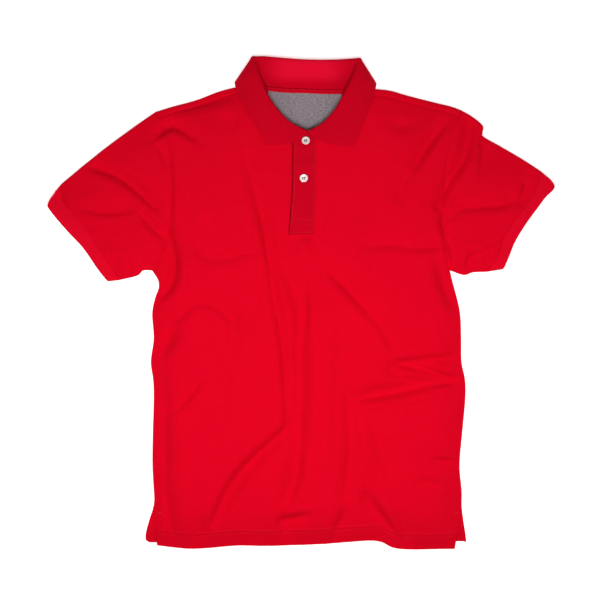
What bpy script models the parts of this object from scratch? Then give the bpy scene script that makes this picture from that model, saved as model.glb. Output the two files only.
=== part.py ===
"""A short-sleeved polo shirt laid flat on its back, face up, collar folded down and both buttons
fastened. Metres, +Z up, the floor at z = 0, the top of the picture towards +Y."""

import math
from collections import namedtuple

import bmesh
import bpy
from mathutils import Matrix, Vector

# Cloth and seams
PIQUE = 0.0012  # thickness of the knitted body cloth
RIB = 0.0015  # thickness of the ribbed collar and cuffs
TAPE = 0.0010  # thickness of the neck tape and the half-moon patch
GAP = 0.0003  # air between two layers that lie on each other
SEAM_GAP = 0.0007  # air between two pieces at a seam, in plan
CELL = 0.0155  # side of one cell of the panels

# Heights of the upper layer above the floor
EDGE_TOP = 0.0028  # at the side seams, where it lies on the back
LOFT_TOP = 0.0064  # where the cloth lies loose
HEM_TOP = 0.0034  # along the hem
RISE = 0.045  # how far in from a side seam it takes to reach the loft

# Raised back of the neck, which lies over the collar's back leaf
NECK_LIFT = 0.0019
NECK_CENTRE_X = 0.0065
NECK_HALF_WIDTH = 0.130
NECK_LIFT_FROM_Y = 0.232
NECK_LIFT_FADE = 0.050

# Shoulder seam, which sits forward of the fold
SHOULDER_SEAM_IN = 0.0100

# Placket
PLACKET_LEFT = -0.0125
PLACKET_RIGHT = 0.0234
PLACKET_BOTTOM_SHARE = 0.7630  # of the way from hem to neckline at the notch
PLACKET_WIDER_FREE = 0.06  # how far the top strip passes the notch, in cells
PLACKET_WIDER_SEWN = 0.22

# Buttons
BUTTON_RADIUS = 0.0064
BUTTON_THICKNESS = 0.0026
BUTTON_RIM = 0.0016
BUTTON_DISH = 0.0008
BUTTON_HOLE_RADIUS = 0.00085
BUTTON_HOLE_SPACING = 0.0029

Section = namedtuple("Section", "level left right")
# Half outlines of the front panel, from the hem up to the shoulder tip
FRONT_SECTIONS = (
    Section(-0.384, -0.2255, 0.2395),
    Section(-0.340, -0.2285, 0.2465),
    Section(-0.300, -0.2305, 0.2505),
    Section(-0.255, -0.2330, 0.2470),
    Section(-0.205, -0.2325, 0.2510),
    Section(-0.150, -0.2310, 0.2560),
    Section(-0.120, -0.2320, 0.2555),
    Section(-0.092, -0.2355, 0.2500),
    Section(-0.055, -0.2310, 0.2495),
    Section(-0.018, -0.2335, 0.2480),
    Section(0.007, -0.2290, 0.2430),
    Section(0.024, -0.2230, 0.2385),
    Section(0.037, -0.2250, 0.2350),
    Section(0.050, -0.2335, 0.2320),
    Section(0.079, -0.2150, 0.2255),
    Section(0.113, -0.2070, 0.2205),
    Section(0.160, -0.2030, 0.2205),
    Section(0.207, -0.2030, 0.2250),
    Section(0.240, -0.2075, 0.2300),
    Section(0.270, -0.2155, 0.2385),
    Section(0.300, -0.2290, 0.2500),
)
# The back panel is the same above its vents and wider below them
BACK_VENT_SECTIONS = (
    Section(-0.376, -0.2430, 0.2580),
    Section(-0.362, -0.2440, 0.2565),
    Section(-0.339, -0.2380, 0.2530),
    Section(-0.318, -0.2315, 0.2505),
)
ARMPIT_LEVEL = 0.050

Place = namedtuple("Place", "x y")
FRONT_HEM = (
    Place(-0.2255, -0.3790),
    Place(-0.1890, -0.3835),
    Place(-0.1560, -0.3842),
    Place(-0.1010, -0.3795),
    Place(-0.0500, -0.3800),
    Place(0.0370, -0.3768),
    Place(0.1000, -0.3720),
    Place(0.1240, -0.3740),
    Place(0.1540, -0.3850),
    Place(0.2390, -0.3845),
)
BACK_HEM = (
    Place(-0.2430, -0.3715),
    Place(-0.2250, -0.3750),
    Place(0.0000, -0.3715),
    Place(0.2300, -0.3730),
    Place(0.2580, -0.3740),
)
# Shoulder folds, from the tip to the neck
SHOULDER_LEFT = (
    Place(-0.2285, 0.2980),
    Place(-0.2010, 0.3065),
    Place(-0.1640, 0.3170),
    Place(-0.1290, 0.3300),
    Place(-0.1010, 0.3368),
    Place(-0.0810, 0.3390),
)
SHOULDER_RIGHT = (
    Place(0.2500, 0.3005),
    Place(0.2320, 0.3070),
    Place(0.2110, 0.3120),
    Place(0.1640, 0.3240),
    Place(0.1390, 0.3310),
    Place(0.1140, 0.3338),
    Place(0.0920, 0.3350),
)
# Neckline of the front from the shoulder seam down to the placket
FRONT_NECK_LEFT = (
    Place(-0.0764, 0.3160),
    Place(-0.0608, 0.2880),
    Place(-0.0359, 0.2680),
    Place(-0.0125, 0.2575),
)
FRONT_NECK_RIGHT = (
    Place(0.0890, 0.3160),
    Place(0.0764, 0.2900),
    Place(0.0515, 0.2680),
    Place(0.0234, 0.2575),
)
BACK_NECK = (
    Place(-0.0610, 0.3345),
    Place(-0.0250, 0.3308),
    Place(0.0060, 0.3300),
    Place(0.0370, 0.3285),
    Place(0.0690, 0.3295),
)
# Sleeves, given for each as the top fold, the underarm seam, the cuff seam and the cuff's mouth
SleeveCut = namedtuple("SleeveCut", "fold underarm cuff_seam mouth")
SLEEVE_RIGHT_OF_WEARER = SleeveCut(
    fold=(Place(-0.2285, 0.2980), Place(-0.2670, 0.2710), Place(-0.3180, 0.2330), Place(-0.3750, 0.1860)),
    underarm=(Place(-0.2335, 0.0500), Place(-0.2480, 0.0500), Place(-0.2570, 0.0420), Place(-0.2850, 0.0350)),
    cuff_seam=(
        Place(-0.2850, 0.0350),
        Place(-0.3000, 0.0590),
        Place(-0.3300, 0.1050),
        Place(-0.3560, 0.1380),
        Place(-0.3700, 0.1540),
        Place(-0.3760, 0.1690),
        Place(-0.3750, 0.1860),
    ),
    mouth=(
        Place(-0.3025, 0.0330),
        Place(-0.3170, 0.0520),
        Place(-0.3400, 0.0850),
        Place(-0.3660, 0.1130),
        Place(-0.3910, 0.1430),
        Place(-0.3950, 0.1550),
        Place(-0.3820, 0.1770),
    ),
)
SLEEVE_LEFT_OF_WEARER = SleeveCut(
    fold=(
        Place(0.2500, 0.3005),
        Place(0.2690, 0.2895),
        Place(0.2840, 0.2750),
        Place(0.2825, 0.2615),
        Place(0.3100, 0.2450),
        Place(0.3440, 0.2250),
        Place(0.3740, 0.2055),
    ),
    underarm=(Place(0.2320, 0.0500), Place(0.2540, 0.0430), Place(0.2680, 0.0470), Place(0.2900, 0.0480)),
    cuff_seam=(
        Place(0.2900, 0.0480),
        Place(0.3060, 0.0700),
        Place(0.3130, 0.0930),
        Place(0.3260, 0.1170),
        Place(0.3450, 0.1450),
        Place(0.3610, 0.1690),
        Place(0.3690, 0.1840),
        Place(0.3740, 0.2055),
    ),
    mouth=(
        Place(0.3150, 0.0520),
        Place(0.3240, 0.0740),
        Place(0.3330, 0.0960),
        Place(0.3490, 0.1220),
        Place(0.3650, 0.1440),
        Place(0.3800, 0.1640),
        Place(0.3942, 0.1795),
        Place(0.3870, 0.1940),
    ),
)

Fold = namedtuple("Fold", "name x0 y0 x1 y1 x2 y2 width depth")
# Largest folds of the upper layer: three places along each, half width, depth (above zero is a ridge)
FOLDS = (
    Fold("right_sleeve_drag", -0.325, 0.205, -0.265, 0.178, -0.226, 0.150, 0.013, -0.0030),
    Fold("right_sleeve_ridge", -0.290, 0.172, -0.253, 0.152, -0.222, 0.118, 0.013, 0.0018),
    Fold("right_sleeve_hollow", -0.252, 0.134, -0.235, 0.114, -0.223, 0.104, 0.011, -0.0018),
    Fold("right_armpit", -0.200, 0.120, -0.195, 0.055, -0.222, 0.006, 0.011, -0.0030),
    Fold("right_shoulder", -0.225, 0.260, -0.196, 0.272, -0.166, 0.252, 0.012, -0.0020),
    Fold("right_chest", -0.165, 0.085, -0.132, 0.063, -0.072, 0.072, 0.013, -0.0018),
    Fold("right_side_hollow", -0.220, -0.015, -0.165, -0.005, -0.105, -0.035, 0.014, -0.0020),
    Fold("right_side_drag", -0.157, -0.124, -0.175, -0.145, -0.205, -0.170, 0.014, -0.0018),
    Fold("centre_long", -0.067, 0.140, -0.045, 0.000, -0.028, -0.180, 0.013, -0.0024),
    Fold("centre_broad", 0.004, 0.020, 0.003, -0.190, -0.015, -0.320, 0.015, -0.0018),
    Fold("centre_ridge", 0.035, -0.020, 0.037, -0.150, 0.030, -0.300, 0.018, 0.0014),
    Fold("lower_right_sweep", -0.027, -0.185, -0.098, -0.262, -0.146, -0.375, 0.015, -0.0030),
    Fold("lower_right_bulge", -0.120, -0.215, -0.165, -0.285, -0.185, -0.350, 0.024, 0.0018),
    Fold("left_diagonal", 0.038, 0.048, 0.090, -0.012, 0.134, -0.080, 0.017, -0.0016),
    Fold("left_waist_upper", 0.130, -0.096, 0.190, -0.112, 0.248, -0.130, 0.012, -0.0026),
    Fold("left_waist_ridge", 0.120, -0.122, 0.175, -0.130, 0.225, -0.132, 0.012, 0.0014),
    Fold("left_waist_lower", 0.092, -0.155, 0.155, -0.142, 0.240, -0.126, 0.012, -0.0028),
    Fold("lower_left_long", 0.072, -0.140, 0.070, -0.250, 0.060, -0.340, 0.016, -0.0022),
    Fold("lower_left_hem", 0.104, -0.297, 0.128, -0.340, 0.158, -0.378, 0.013, -0.0022),
    Fold("left_chest", 0.095, 0.084, 0.150, 0.088, 0.222, 0.084, 0.012, -0.0022),
    Fold("left_shoulder", 0.228, 0.282, 0.190, 0.222, 0.156, 0.160, 0.013, -0.0026),
    Fold("left_armhole_drag", 0.264, 0.282, 0.246, 0.200, 0.217, 0.135, 0.013, -0.0032),
    Fold("left_sleeve_drag", 0.236, 0.128, 0.280, 0.148, 0.342, 0.168, 0.013, -0.0028),
    Fold("left_sleeve_low", 0.252, 0.052, 0.268, 0.078, 0.310, 0.104, 0.012, -0.0020),
)

Station = namedtuple("Station", "seam_x seam_y roll_x roll_y edge_x edge_y side turn radius front")
# The collar round the neck: sewn edge, roll and free edge. Turn is 90 where the leaf lies over the
# front, 0 where it folds at the side and -90 where it lies under the back. Front is how much of its
# height a station takes from the front, the rest being from the back.
COLLAR_STATIONS = (
    Station(0.0025, 0.2590, 0.0045, 0.2630, -0.0530, 0.2449, -1, 90, 0.0016, 1),
    Station(-0.0165, 0.2605, -0.0140, 0.2770, -0.0610, 0.2600, -1, 90, 0.0022, 1),
    Station(-0.0375, 0.2700, -0.0280, 0.2895, -0.0700, 0.2755, -1, 90, 0.0028, 1),
    Station(-0.0595, 0.2890, -0.0420, 0.3065, -0.0810, 0.2925, -1, 88, 0.0030, 1),
    Station(-0.0715, 0.3090, -0.0530, 0.3240, -0.0905, 0.3095, -1, 82, 0.0030, 1),
    Station(-0.0765, 0.3260, -0.0620, 0.3455, -0.0975, 0.3245, -1, 68, 0.0029, 1),
    Station(-0.0785, 0.3370, -0.0700, 0.3655, -0.1020, 0.3345, -1, 38, 0.0027, 1),
    Station(-0.0775, 0.3420, -0.0757, 0.3815, -0.1040, 0.3440, -1, 0, 0.0026, 0.42),
    Station(-0.0725, 0.3410, -0.0705, 0.3830, -0.0990, 0.3330, -1, -38, 0.0027, 0),
    Station(-0.0630, 0.3375, -0.0590, 0.3835, -0.0860, 0.3210, -1, -72, 0.0030, 0),
    Station(-0.0450, 0.3345, -0.0410, 0.3820, -0.0580, 0.3140, -1, -90, 0.0032, 0),
    Station(-0.0205, 0.3322, -0.0170, 0.3800, -0.0260, 0.3100, -1, -90, 0.0034, 0),
    Station(0.0070, 0.3315, 0.0070, 0.3785, 0.0070, 0.3090, 1, -90, 0.0034, 0),
    Station(0.0340, 0.3302, 0.0350, 0.3780, 0.0410, 0.3095, 1, -90, 0.0034, 0),
    Station(0.0590, 0.3305, 0.0590, 0.3785, 0.0740, 0.3120, 1, -90, 0.0032, 0),
    Station(0.0770, 0.3335, 0.0755, 0.3795, 0.0980, 0.3185, 1, -72, 0.0030, 0),
    Station(0.0860, 0.3375, 0.0855, 0.3800, 0.1130, 0.3312, 1, -38, 0.0027, 0),
    Station(0.0890, 0.3385, 0.0905, 0.3790, 0.1165, 0.3425, 1, 0, 0.0026, 0.42),
    Station(0.0895, 0.3330, 0.0845, 0.3640, 0.1145, 0.3315, 1, 38, 0.0027, 1),
    Station(0.0885, 0.3220, 0.0760, 0.3455, 0.1115, 0.3210, 1, 68, 0.0029, 1),
    Station(0.0845, 0.3085, 0.0655, 0.3240, 0.1060, 0.3050, 1, 82, 0.0030, 1),
    Station(0.0735, 0.2905, 0.0560, 0.3060, 0.0995, 0.2880, 1, 88, 0.0030, 1),
    Station(0.0500, 0.2705, 0.0420, 0.2880, 0.0930, 0.2710, 1, 90, 0.0028, 1),
    Station(0.0300, 0.2605, 0.0285, 0.2760, 0.0865, 0.2550, 1, 90, 0.0022, 1),
    Station(0.0165, 0.2590, 0.0140, 0.2630, 0.0795, 0.2397, 1, 90, 0.0016, 1),
)
ROLL_TOP_FRONT = 0.0100
ROLL_TOP_BACK = 0.0088
LEAF_CROWN = 0.0018

# The half-moon patch inside the back of the neck
PATCH_LEFT = -0.0520
PATCH_RIGHT = 0.0630
PATCH_DEPTH = 0.0780
TAPE_HALF_WIDTH = 0.0032


def smooth_line(places, steps=8):
    """A smooth line through the places, as many short straight pieces."""
    points = [Vector((place[0], place[1])) for place in places]
    ends = [2 * points[0] - points[1]] + points + [2 * points[-1] - points[-2]]
    line = []
    for k in range(len(points) - 1):
        a, b, c, d = ends[k : k + 4]
        for step in range(steps):
            t = step / steps
            line.append(
                0.5 * (2 * b + (c - a) * t + (2 * a - 5 * b + 4 * c - d) * t**2 + (3 * b - a - 3 * c + d) * t**3)
            )
    return line + [points[-1]]


def along(line, count):
    """Places at equal steps along a line, both ends included."""
    lengths = [0.0]
    for a, b in zip(line, line[1:]):
        lengths.append(lengths[-1] + (b - a).length)
    found = []
    k = 0
    for step in range(count + 1):
        wanted = lengths[-1] * step / count
        while k < len(line) - 2 and lengths[k + 1] < wanted:
            k += 1
        share = (wanted - lengths[k]) / max(lengths[k + 1] - lengths[k], 1e-9)
        found.append(line[k].lerp(line[k + 1], min(share, 1.0)))
    return found


def between(table, level, column):
    """A column of a table of sections at a level between its rows, smoothly."""
    k = 0
    while k < len(table) - 2 and table[k + 1].level < level:
        k += 1
    before = table[max(k - 1, 0)]
    low = table[k]
    high = table[k + 1]
    after = table[min(k + 2, len(table) - 1)]
    t = min(max((level - low.level) / (high.level - low.level), 0.0), 1.0)
    start = getattr(low, column)
    end = getattr(high, column)
    corner = abs(low.level - ARMPIT_LEVEL) < 1e-4 or abs(high.level - ARMPIT_LEVEL) < 1e-4
    if corner:
        return start + (end - start) * t
    slope_in = (end - getattr(before, column)) / max(high.level - before.level, 1e-6)
    slope_out = (getattr(after, column) - start) / max(after.level - low.level, 1e-6)
    span = high.level - low.level
    return (
        (2 * t**3 - 3 * t**2 + 1) * start
        + (t**3 - 2 * t**2 + t) * span * slope_in
        + (3 * t**2 - 2 * t**3) * end
        + (t**3 - t**2) * span * slope_out
    )


def ease(t):
    t = min(max(t, 0.0), 1.0)
    return t * t * (3 - 2 * t)


def distance_to(line, point):
    """Distance from a point to a line of straight pieces, and how far along it the foot is."""
    best = (1e9, 0.0)
    for k, (a, b) in enumerate(zip(line, line[1:])):
        side = b - a
        t = min(max((point - a).dot(side) / max(side.length_squared, 1e-12), 0.0), 1.0)
        away = (point - a - side * t).length
        if away < best[0]:
            best = (away, (k + t) / (len(line) - 1))
    return best


def edge_line(column, sleeve):
    """The side seam and the underarm seam of one side as one line."""
    sides = [Vector((getattr(row, column), row.level)) for row in FRONT_SECTIONS if row.level <= ARMPIT_LEVEL]
    return sides + [Vector(place) for place in sleeve.underarm[1:]] + [Vector(sleeve.mouth[0])]


EDGE_LINES = (edge_line("left", SLEEVE_RIGHT_OF_WEARER), edge_line("right", SLEEVE_LEFT_OF_WEARER))
HEM_LINE = smooth_line(FRONT_HEM)
FOLD_LINES = [
    (fold, smooth_line([(fold.x0, fold.y0), (fold.x1, fold.y1), (fold.x2, fold.y2)], 4)) for fold in FOLDS
]


def upper_height(x, y):
    """Height of the outside of the upper layer: front panel and the tops of the sleeves."""
    point = Vector((x, y))
    away = min(distance_to(line, point)[0] for line in EDGE_LINES)
    rise = math.sin(0.5 * math.pi * min(away / RISE, 1.0))
    height = EDGE_TOP + (LOFT_TOP - EDGE_TOP) * rise
    if y < -0.30:
        from_hem = distance_to(HEM_LINE, point)[0]
        height = min(height, HEM_TOP + (LOFT_TOP - HEM_TOP) * ease(from_hem / 0.055))
    for fold, line in FOLD_LINES:
        away, share = distance_to(line, point)
        if away < 3 * fold.width:
            fade = 0.45 + 0.55 * math.sin(math.pi * min(max(share, 0.0), 1.0))
            height += fold.depth * math.exp(-((away / fold.width) ** 2)) * fade * rise
    return max(height, EDGE_TOP)


def under_lift(x, y):
    """How far the back panel is lifted off the floor, over the collar's back leaf."""
    across = ease(1 - (abs(x - NECK_CENTRE_X) - NECK_HALF_WIDTH) / NECK_LIFT_FADE)
    down = ease(1 - (NECK_LIFT_FROM_Y - y) / NECK_LIFT_FADE)
    return NECK_LIFT * across * down


def shoulder_inward(side, share):
    """The way in from the shoulder fold: along the armhole at the tip, along the neckline at the neck."""
    across = 0.42 - 0.22 * share
    return Vector((-side * across, -math.sqrt(1 - across**2)))


def top_columns(neck_left, neck_right, notch, inset):
    """The top edge of a panel: shoulder, neckline and shoulder, moved in from the folds by inset."""
    counts = (9, 7, 2, 7, 10)
    left = along(smooth_line(SHOULDER_LEFT), counts[0])
    right = along(smooth_line(SHOULDER_RIGHT), counts[4])
    left = [p + shoulder_inward(-1, k / counts[0]) * inset for k, p in enumerate(left)]
    right = [p + shoulder_inward(1, k / counts[4]) * inset for k, p in enumerate(right)]
    if notch:
        neck = along(smooth_line([left[-1]] + list(neck_left)), counts[1])
        neck += along([Vector(neck_left[-1]), Vector(neck_right[-1])], counts[2])[1:]
        neck += along(smooth_line([right[-1]] + list(neck_right)), counts[3])[-2::-1]
    else:
        neck = along(smooth_line([left[-1]] + list(neck_left) + [right[-1]]), sum(counts[1:4]))
    return left + neck[1:-1] + right[::-1], counts


def panel_plan(sections, hem, top, counts):
    """Rows of places over a panel, from hem to top, blended from its four edges."""
    hem_line = smooth_line(hem)

    def hem_y(x):
        for a, b in zip(hem_line, hem_line[1:]):
            if x <= b.x:
                return a.y + (b.y - a.y) * (x - a.x) / (b.x - a.x)
        return hem_line[-1].y

    left_x = hem_line[0].x
    right_x = hem_line[-1].x
    before_notch = counts[0] + counts[1]
    after_notch = counts[3] + counts[4]
    hem_xs = [left_x + (PLACKET_LEFT - 0.0035 - left_x) * k / before_notch for k in range(before_notch)]
    hem_xs += [PLACKET_LEFT - 0.0035 + (PLACKET_RIGHT - PLACKET_LEFT) * k / counts[2] for k in range(counts[2])]
    start = PLACKET_RIGHT - 0.0035
    hem_xs += [start + (right_x - start) * k / after_notch for k in range(after_notch + 1)]
    bottom = [Vector((x, hem_y(min(max(x, left_x), right_x)))) for x in hem_xs]

    armpit = (ARMPIT_LEVEL - bottom[0].y) / (top[0].y - bottom[0].y)
    shares = [armpit * k / 27 for k in range(27)]
    shares += [armpit + (PLACKET_BOTTOM_SHARE - armpit) * k / 5 for k in range(5)]
    shares += [PLACKET_BOTTOM_SHARE + (1 - PLACKET_BOTTOM_SHARE) * k / 10 for k in range(11)]
    rows = []
    across = len(bottom) - 1
    for v in shares:
        left_y = bottom[0].y + (top[0].y - bottom[0].y) * v
        right_y = bottom[-1].y + (top[-1].y - bottom[-1].y) * v
        left = Vector((between(sections, left_y, "left"), left_y))
        right = Vector((between(sections, right_y, "right"), right_y))
        row = []
        for k in range(across + 1):
            u = k / across
            plain = bottom[k].lerp(top[k], v)
            off_left = left - bottom[0].lerp(top[0], v)
            off_right = right - bottom[-1].lerp(top[-1], v)
            row.append(plain + off_left * (1 - u) + off_right * u)
        rows.append(row)
    return rows


def at(grid, row, column, lift):
    """A place on a grid of points between its rows and columns, moved up by lift."""
    i = min(int(row), len(grid) - 2)
    j = min(int(column), len(grid[0]) - 2)
    s = row - i
    t = column - j
    near = grid[i][j].lerp(grid[i][j + 1], t)
    far = grid[i + 1][j].lerp(grid[i + 1][j + 1], t)
    return near.lerp(far, s) + Vector((0, 0, lift))


def material(name, colour, roughness):
    made = bpy.data.materials.new(name)
    made.use_nodes = True
    shader = made.node_tree.nodes["Principled BSDF"]
    shader.inputs["Base Color"].default_value = (*colour, 1)
    shader.inputs["Roughness"].default_value = roughness
    shader.inputs["Metallic"].default_value = 0
    made.diffuse_color = (*colour, 1)
    return made


def add_object(name, bm, colour, roughness, angle=50):
    mesh = bpy.data.meshes.new(name)
    bm.to_mesh(mesh)
    bm.free()
    mesh.shade_smooth()
    mesh.set_sharp_from_angle(angle=math.radians(angle))
    made = bpy.data.objects.new(name, mesh)
    bpy.context.scene.collection.objects.link(made)
    mesh.materials.append(material(name, colour, roughness))
    return made


def wall(name, rows, thickness, colour, roughness, levels=None, square=True, left_out=()):
    """A wall of cloth: its outside through rows of points, its inside at the thickness below, and
    its edges closed. A square rim stands straight, so that seams keep their gap in plan. With
    levels, the rows are closed loops, and levels holds the level way out through each loop's rim.
    None in a row, or a cell that is left out, is open."""
    ring = levels is not None
    bm = bmesh.new()
    outside = [[bm.verts.new(p) if p is not None else None for p in row] for row in rows]
    width = len(rows[0])
    for i in range(len(rows) - 1):
        for j in range(width if ring else width - 1):
            k = (j + 1) % width
            corners = (outside[i][j], outside[i][k], outside[i + 1][k], outside[i + 1][j])
            if None not in corners and (i, j) not in left_out:
                bm.faces.new(corners)
    for vert in [v for v in bm.verts if not v.link_faces]:
        bm.verts.remove(vert)
    bm.normal_update()
    rims = [edge for edge in bm.edges if len(edge.link_faces) == 1]
    away = {}
    for edge in rims:
        loop = edge.link_loops[0]
        out = (loop.link_loop_next.vert.co - loop.vert.co).normalized().cross(loop.face.normal)
        for vert in edge.verts:
            away[vert] = away.get(vert, Vector()) + Vector((out.x, out.y, 0))
    if ring:
        away = {outside[i][j]: levels[i][j] for i in (0, -1) for j in range(width)}
    inward = {}
    for vert in list(bm.verts):
        normal = vert.normal.copy()
        if square and vert in away:
            if abs(normal.z) > 0.5 and not ring:
                normal = Vector((0, 0, math.copysign(1, normal.z)))
            else:
                level = away[vert].normalized()
                normal = (normal - level * normal.dot(level)).normalized()
        inward[vert] = vert.co - normal * thickness
    faces = list(bm.faces)
    inside = {vert: bm.verts.new(place) for vert, place in inward.items()}
    for face in faces:
        bm.faces.new([inside[vert] for vert in reversed(face.verts)])
    for edge in rims:
        loop = edge.link_loops[0]
        a = loop.vert
        b = loop.link_loop_next.vert
        bm.faces.new((b, a, inside[a], inside[b]))
    bm.normal_update()
    return add_object(name, bm, colour, roughness)


PIQUE_RED = (0.69, 0.0012, 0.016)
RIB_RED = (0.66, 0.0012, 0.017)
MARL_GREY = (0.32, 0.27, 0.31)
BUTTON_WHITE = (0.83, 0.76, 0.76)


def make_front():
    """The front, one piece from hem to shoulder seam, with the notch for the placket."""
    top, counts = top_columns(FRONT_NECK_LEFT, FRONT_NECK_RIGHT, True, SHOULDER_SEAM_IN + SEAM_GAP)
    plan = panel_plan(FRONT_SECTIONS, FRONT_HEM, top, counts)
    grid = [[Vector((p.x, p.y, upper_height(p.x, p.y))) for p in row] for row in plan]
    notch_column = counts[0] + counts[1]
    notch_row = 32
    notch = {(i, j) for i in range(notch_row, len(grid) - 1) for j in (notch_column, notch_column + 1)}
    wall("front_panel", grid, PIQUE, PIQUE_RED, 0.9, left_out=notch)
    return grid, notch_row, notch_column


def make_back():
    """The back, flat on the floor, rolled over the shoulders to the seam in front of them."""
    sections = BACK_VENT_SECTIONS + tuple(row for row in FRONT_SECTIONS if row.level > -0.31)
    top, counts = top_columns(BACK_NECK, (), False, 0.0)
    radii = []
    for place in top:
        low = under_lift(place.x, place.y)
        radii.append(0.5 * (upper_height(place.x, place.y - 0.008) - low))
    inward = {}
    last = len(top) - 1
    for k in range(counts[0] + 1):
        inward[k] = shoulder_inward(-1, k / counts[0])
    for k in range(counts[4] + 1):
        inward[last - k] = shoulder_inward(1, k / counts[4])
    flat_top = [p + inward[k] * radii[k] if k in inward else p for k, p in enumerate(top)]
    plan = panel_plan(sections, BACK_HEM, flat_top, counts)
    flat = [[Vector((p.x, p.y, under_lift(p.x, p.y))) for p in row] for row in plan]
    rows = [row[:] for row in flat]
    for degrees in (-50, -15, 20, 55, 90):
        turn = math.radians(degrees)
        row = []
        for k in range(last + 1):
            if k not in inward:
                row.append(None)
                continue
            out = flat_top[k] - inward[k] * radii[k] * math.cos(turn)
            row.append(Vector((out.x, out.y, flat[-1][k].z + radii[k] * (1 + math.sin(turn)))))
        rows.append(row)
    seam = []
    for k in range(last + 1):
        if k not in inward:
            seam.append(None)
            continue
        out = top[k] + inward[k] * SHOULDER_SEAM_IN
        seam.append(Vector((out.x, out.y, upper_height(out.x, out.y))))
    rows.append(seam)
    wall("back_panel", [row[::-1] for row in rows], PIQUE, PIQUE_RED, 0.9)
    return flat


def sleeve_plan(cut, side, column):
    """Places over a sleeve: rows from armhole to cuff seam, columns from underarm to fold."""
    across = 12
    down = 11
    levels = [ARMPIT_LEVEL + (cut.fold[0].y - ARMPIT_LEVEL) * k / 24 for k in range(25)]
    armhole_line = [Vector((between(FRONT_SECTIONS, y, column) + side * SEAM_GAP, y)) for y in levels]
    armhole = along(armhole_line, across)
    cuff = along(smooth_line(cut.cuff_seam), across)
    fold = along(smooth_line(cut.fold), down)
    under = along(smooth_line(cut.underarm), down)
    fold[0] = armhole[-1]
    under[0] = armhole[0]
    rows = []
    for i in range(down + 1):
        s = i / down
        row = []
        for j in range(across + 1):
            w = j / across
            place = armhole[j].lerp(cuff[j], s) + under[i].lerp(fold[i], w)
            corners = armhole[0].lerp(cuff[0], s).lerp(armhole[-1].lerp(cuff[-1], s), w)
            row.append(place - corners)
        rows.append(row)
    return rows


def ring_of(row, top_drop=0.0):
    """One closed loop round a flattened tube: underneath, round the fold, over the top and down
    to the underarm seam. With it comes the level way out through a rim there."""
    out = (row[-1] - row[-2]).normalized()
    top_here = upper_height(*(row[-1] - out * 0.006)) - top_drop
    radius = 0.5 * top_here
    centre = row[-1] - out * radius
    loop = []
    edge_out = (row[0] - row[1]).normalized()
    small = 0.5 * EDGE_TOP
    low_centre = row[0] - edge_out * small
    loop.append(Vector((*low_centre, 0)))
    loop += [Vector((*p, 0)) for p in row[1:-1]]
    for degrees in (-90, -45, 0, 45, 90):
        turn = math.radians(degrees)
        out_point = centre + out * radius * math.cos(turn)
        loop.append(Vector((*out_point, radius * (1 + math.sin(turn)))))
    loop += [Vector((*p, upper_height(*p) - top_drop)) for p in row[-2:0:-1]]
    loop.append(Vector((*low_centre, EDGE_TOP)))
    loop.append(Vector((*row[0], small)))
    ways = [row[min(k + 1, len(row) - 1)] - row[max(k - 1, 0)] for k in range(len(row))]
    levels = [Vector((way.y, -way.x, 0)).normalized() for way in ways]
    round_loop = [levels[0]] + levels[1:-1] + [Vector((out.y, -out.x, 0))] * 5
    round_loop += levels[-2:0:-1] + [levels[0]] * 2
    return loop, round_loop


def make_sleeve(name, cut, side, column):
    plan = sleeve_plan(cut, side, column)
    rings, levels = zip(*[ring_of(row) for row in plan])
    rings = [ring[::side] for ring in rings]
    levels = [level[::side] for level in levels]
    wall(name, rings, PIQUE, PIQUE_RED, 0.9, levels=levels)


def make_cuff(name, cut, side):
    """A band of rib knit round the sleeve's end."""
    seam = along(smooth_line(cut.cuff_seam), 12)
    mouth = along(smooth_line(cut.mouth), 12)
    rings = []
    levels = []
    for share, drop in ((0.0, 0.0), (0.34, 0.0), (0.67, 0.0002), (1.0, 0.0006)):
        row = [a.lerp(b, share) for a, b in zip(seam, mouth)]
        if share == 0.0:
            row = [a + (b - a).normalized() * SEAM_GAP for a, b in zip(seam, mouth)]
        ring, level = ring_of(row, drop)
        rings.append(ring[::side])
        levels.append(level[::side])
    wall(name, rings, PIQUE, RIB_RED, 0.85, levels=levels)


def make_placket(grid, notch_row, notch_column):
    """Two strips: the under one fills the notch, the top one lies over it and is sewn at the
    wearer's left."""
    last = len(grid) - 1
    gap = 0.05
    rows = [notch_row + gap] + list(range(notch_row + 1, last)) + [last - 0.05]
    columns = (notch_column + gap, notch_column + 0.5, notch_column + 1, notch_column + 1.5, notch_column + 2 - gap)
    under = [[at(grid, row, column, 0) for column in columns] for row in rows]
    wall("placket_under", under, PIQUE, PIQUE_RED, 0.9)
    rows = [notch_row - 0.25, notch_row] + list(range(notch_row + 1, last)) + [last - 0.08]
    columns = (
        notch_column - PLACKET_WIDER_FREE,
        notch_column,
        notch_column + 0.5,
        notch_column + 1,
        notch_column + 1.5,
        notch_column + 2,
        notch_column + 2 + PLACKET_WIDER_SEWN,
    )
    over = [[at(grid, row, column, PIQUE + GAP) for column in columns] for row in rows]
    wall("placket_top", over, PIQUE, PIQUE_RED, 0.9)
    return over


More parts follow.
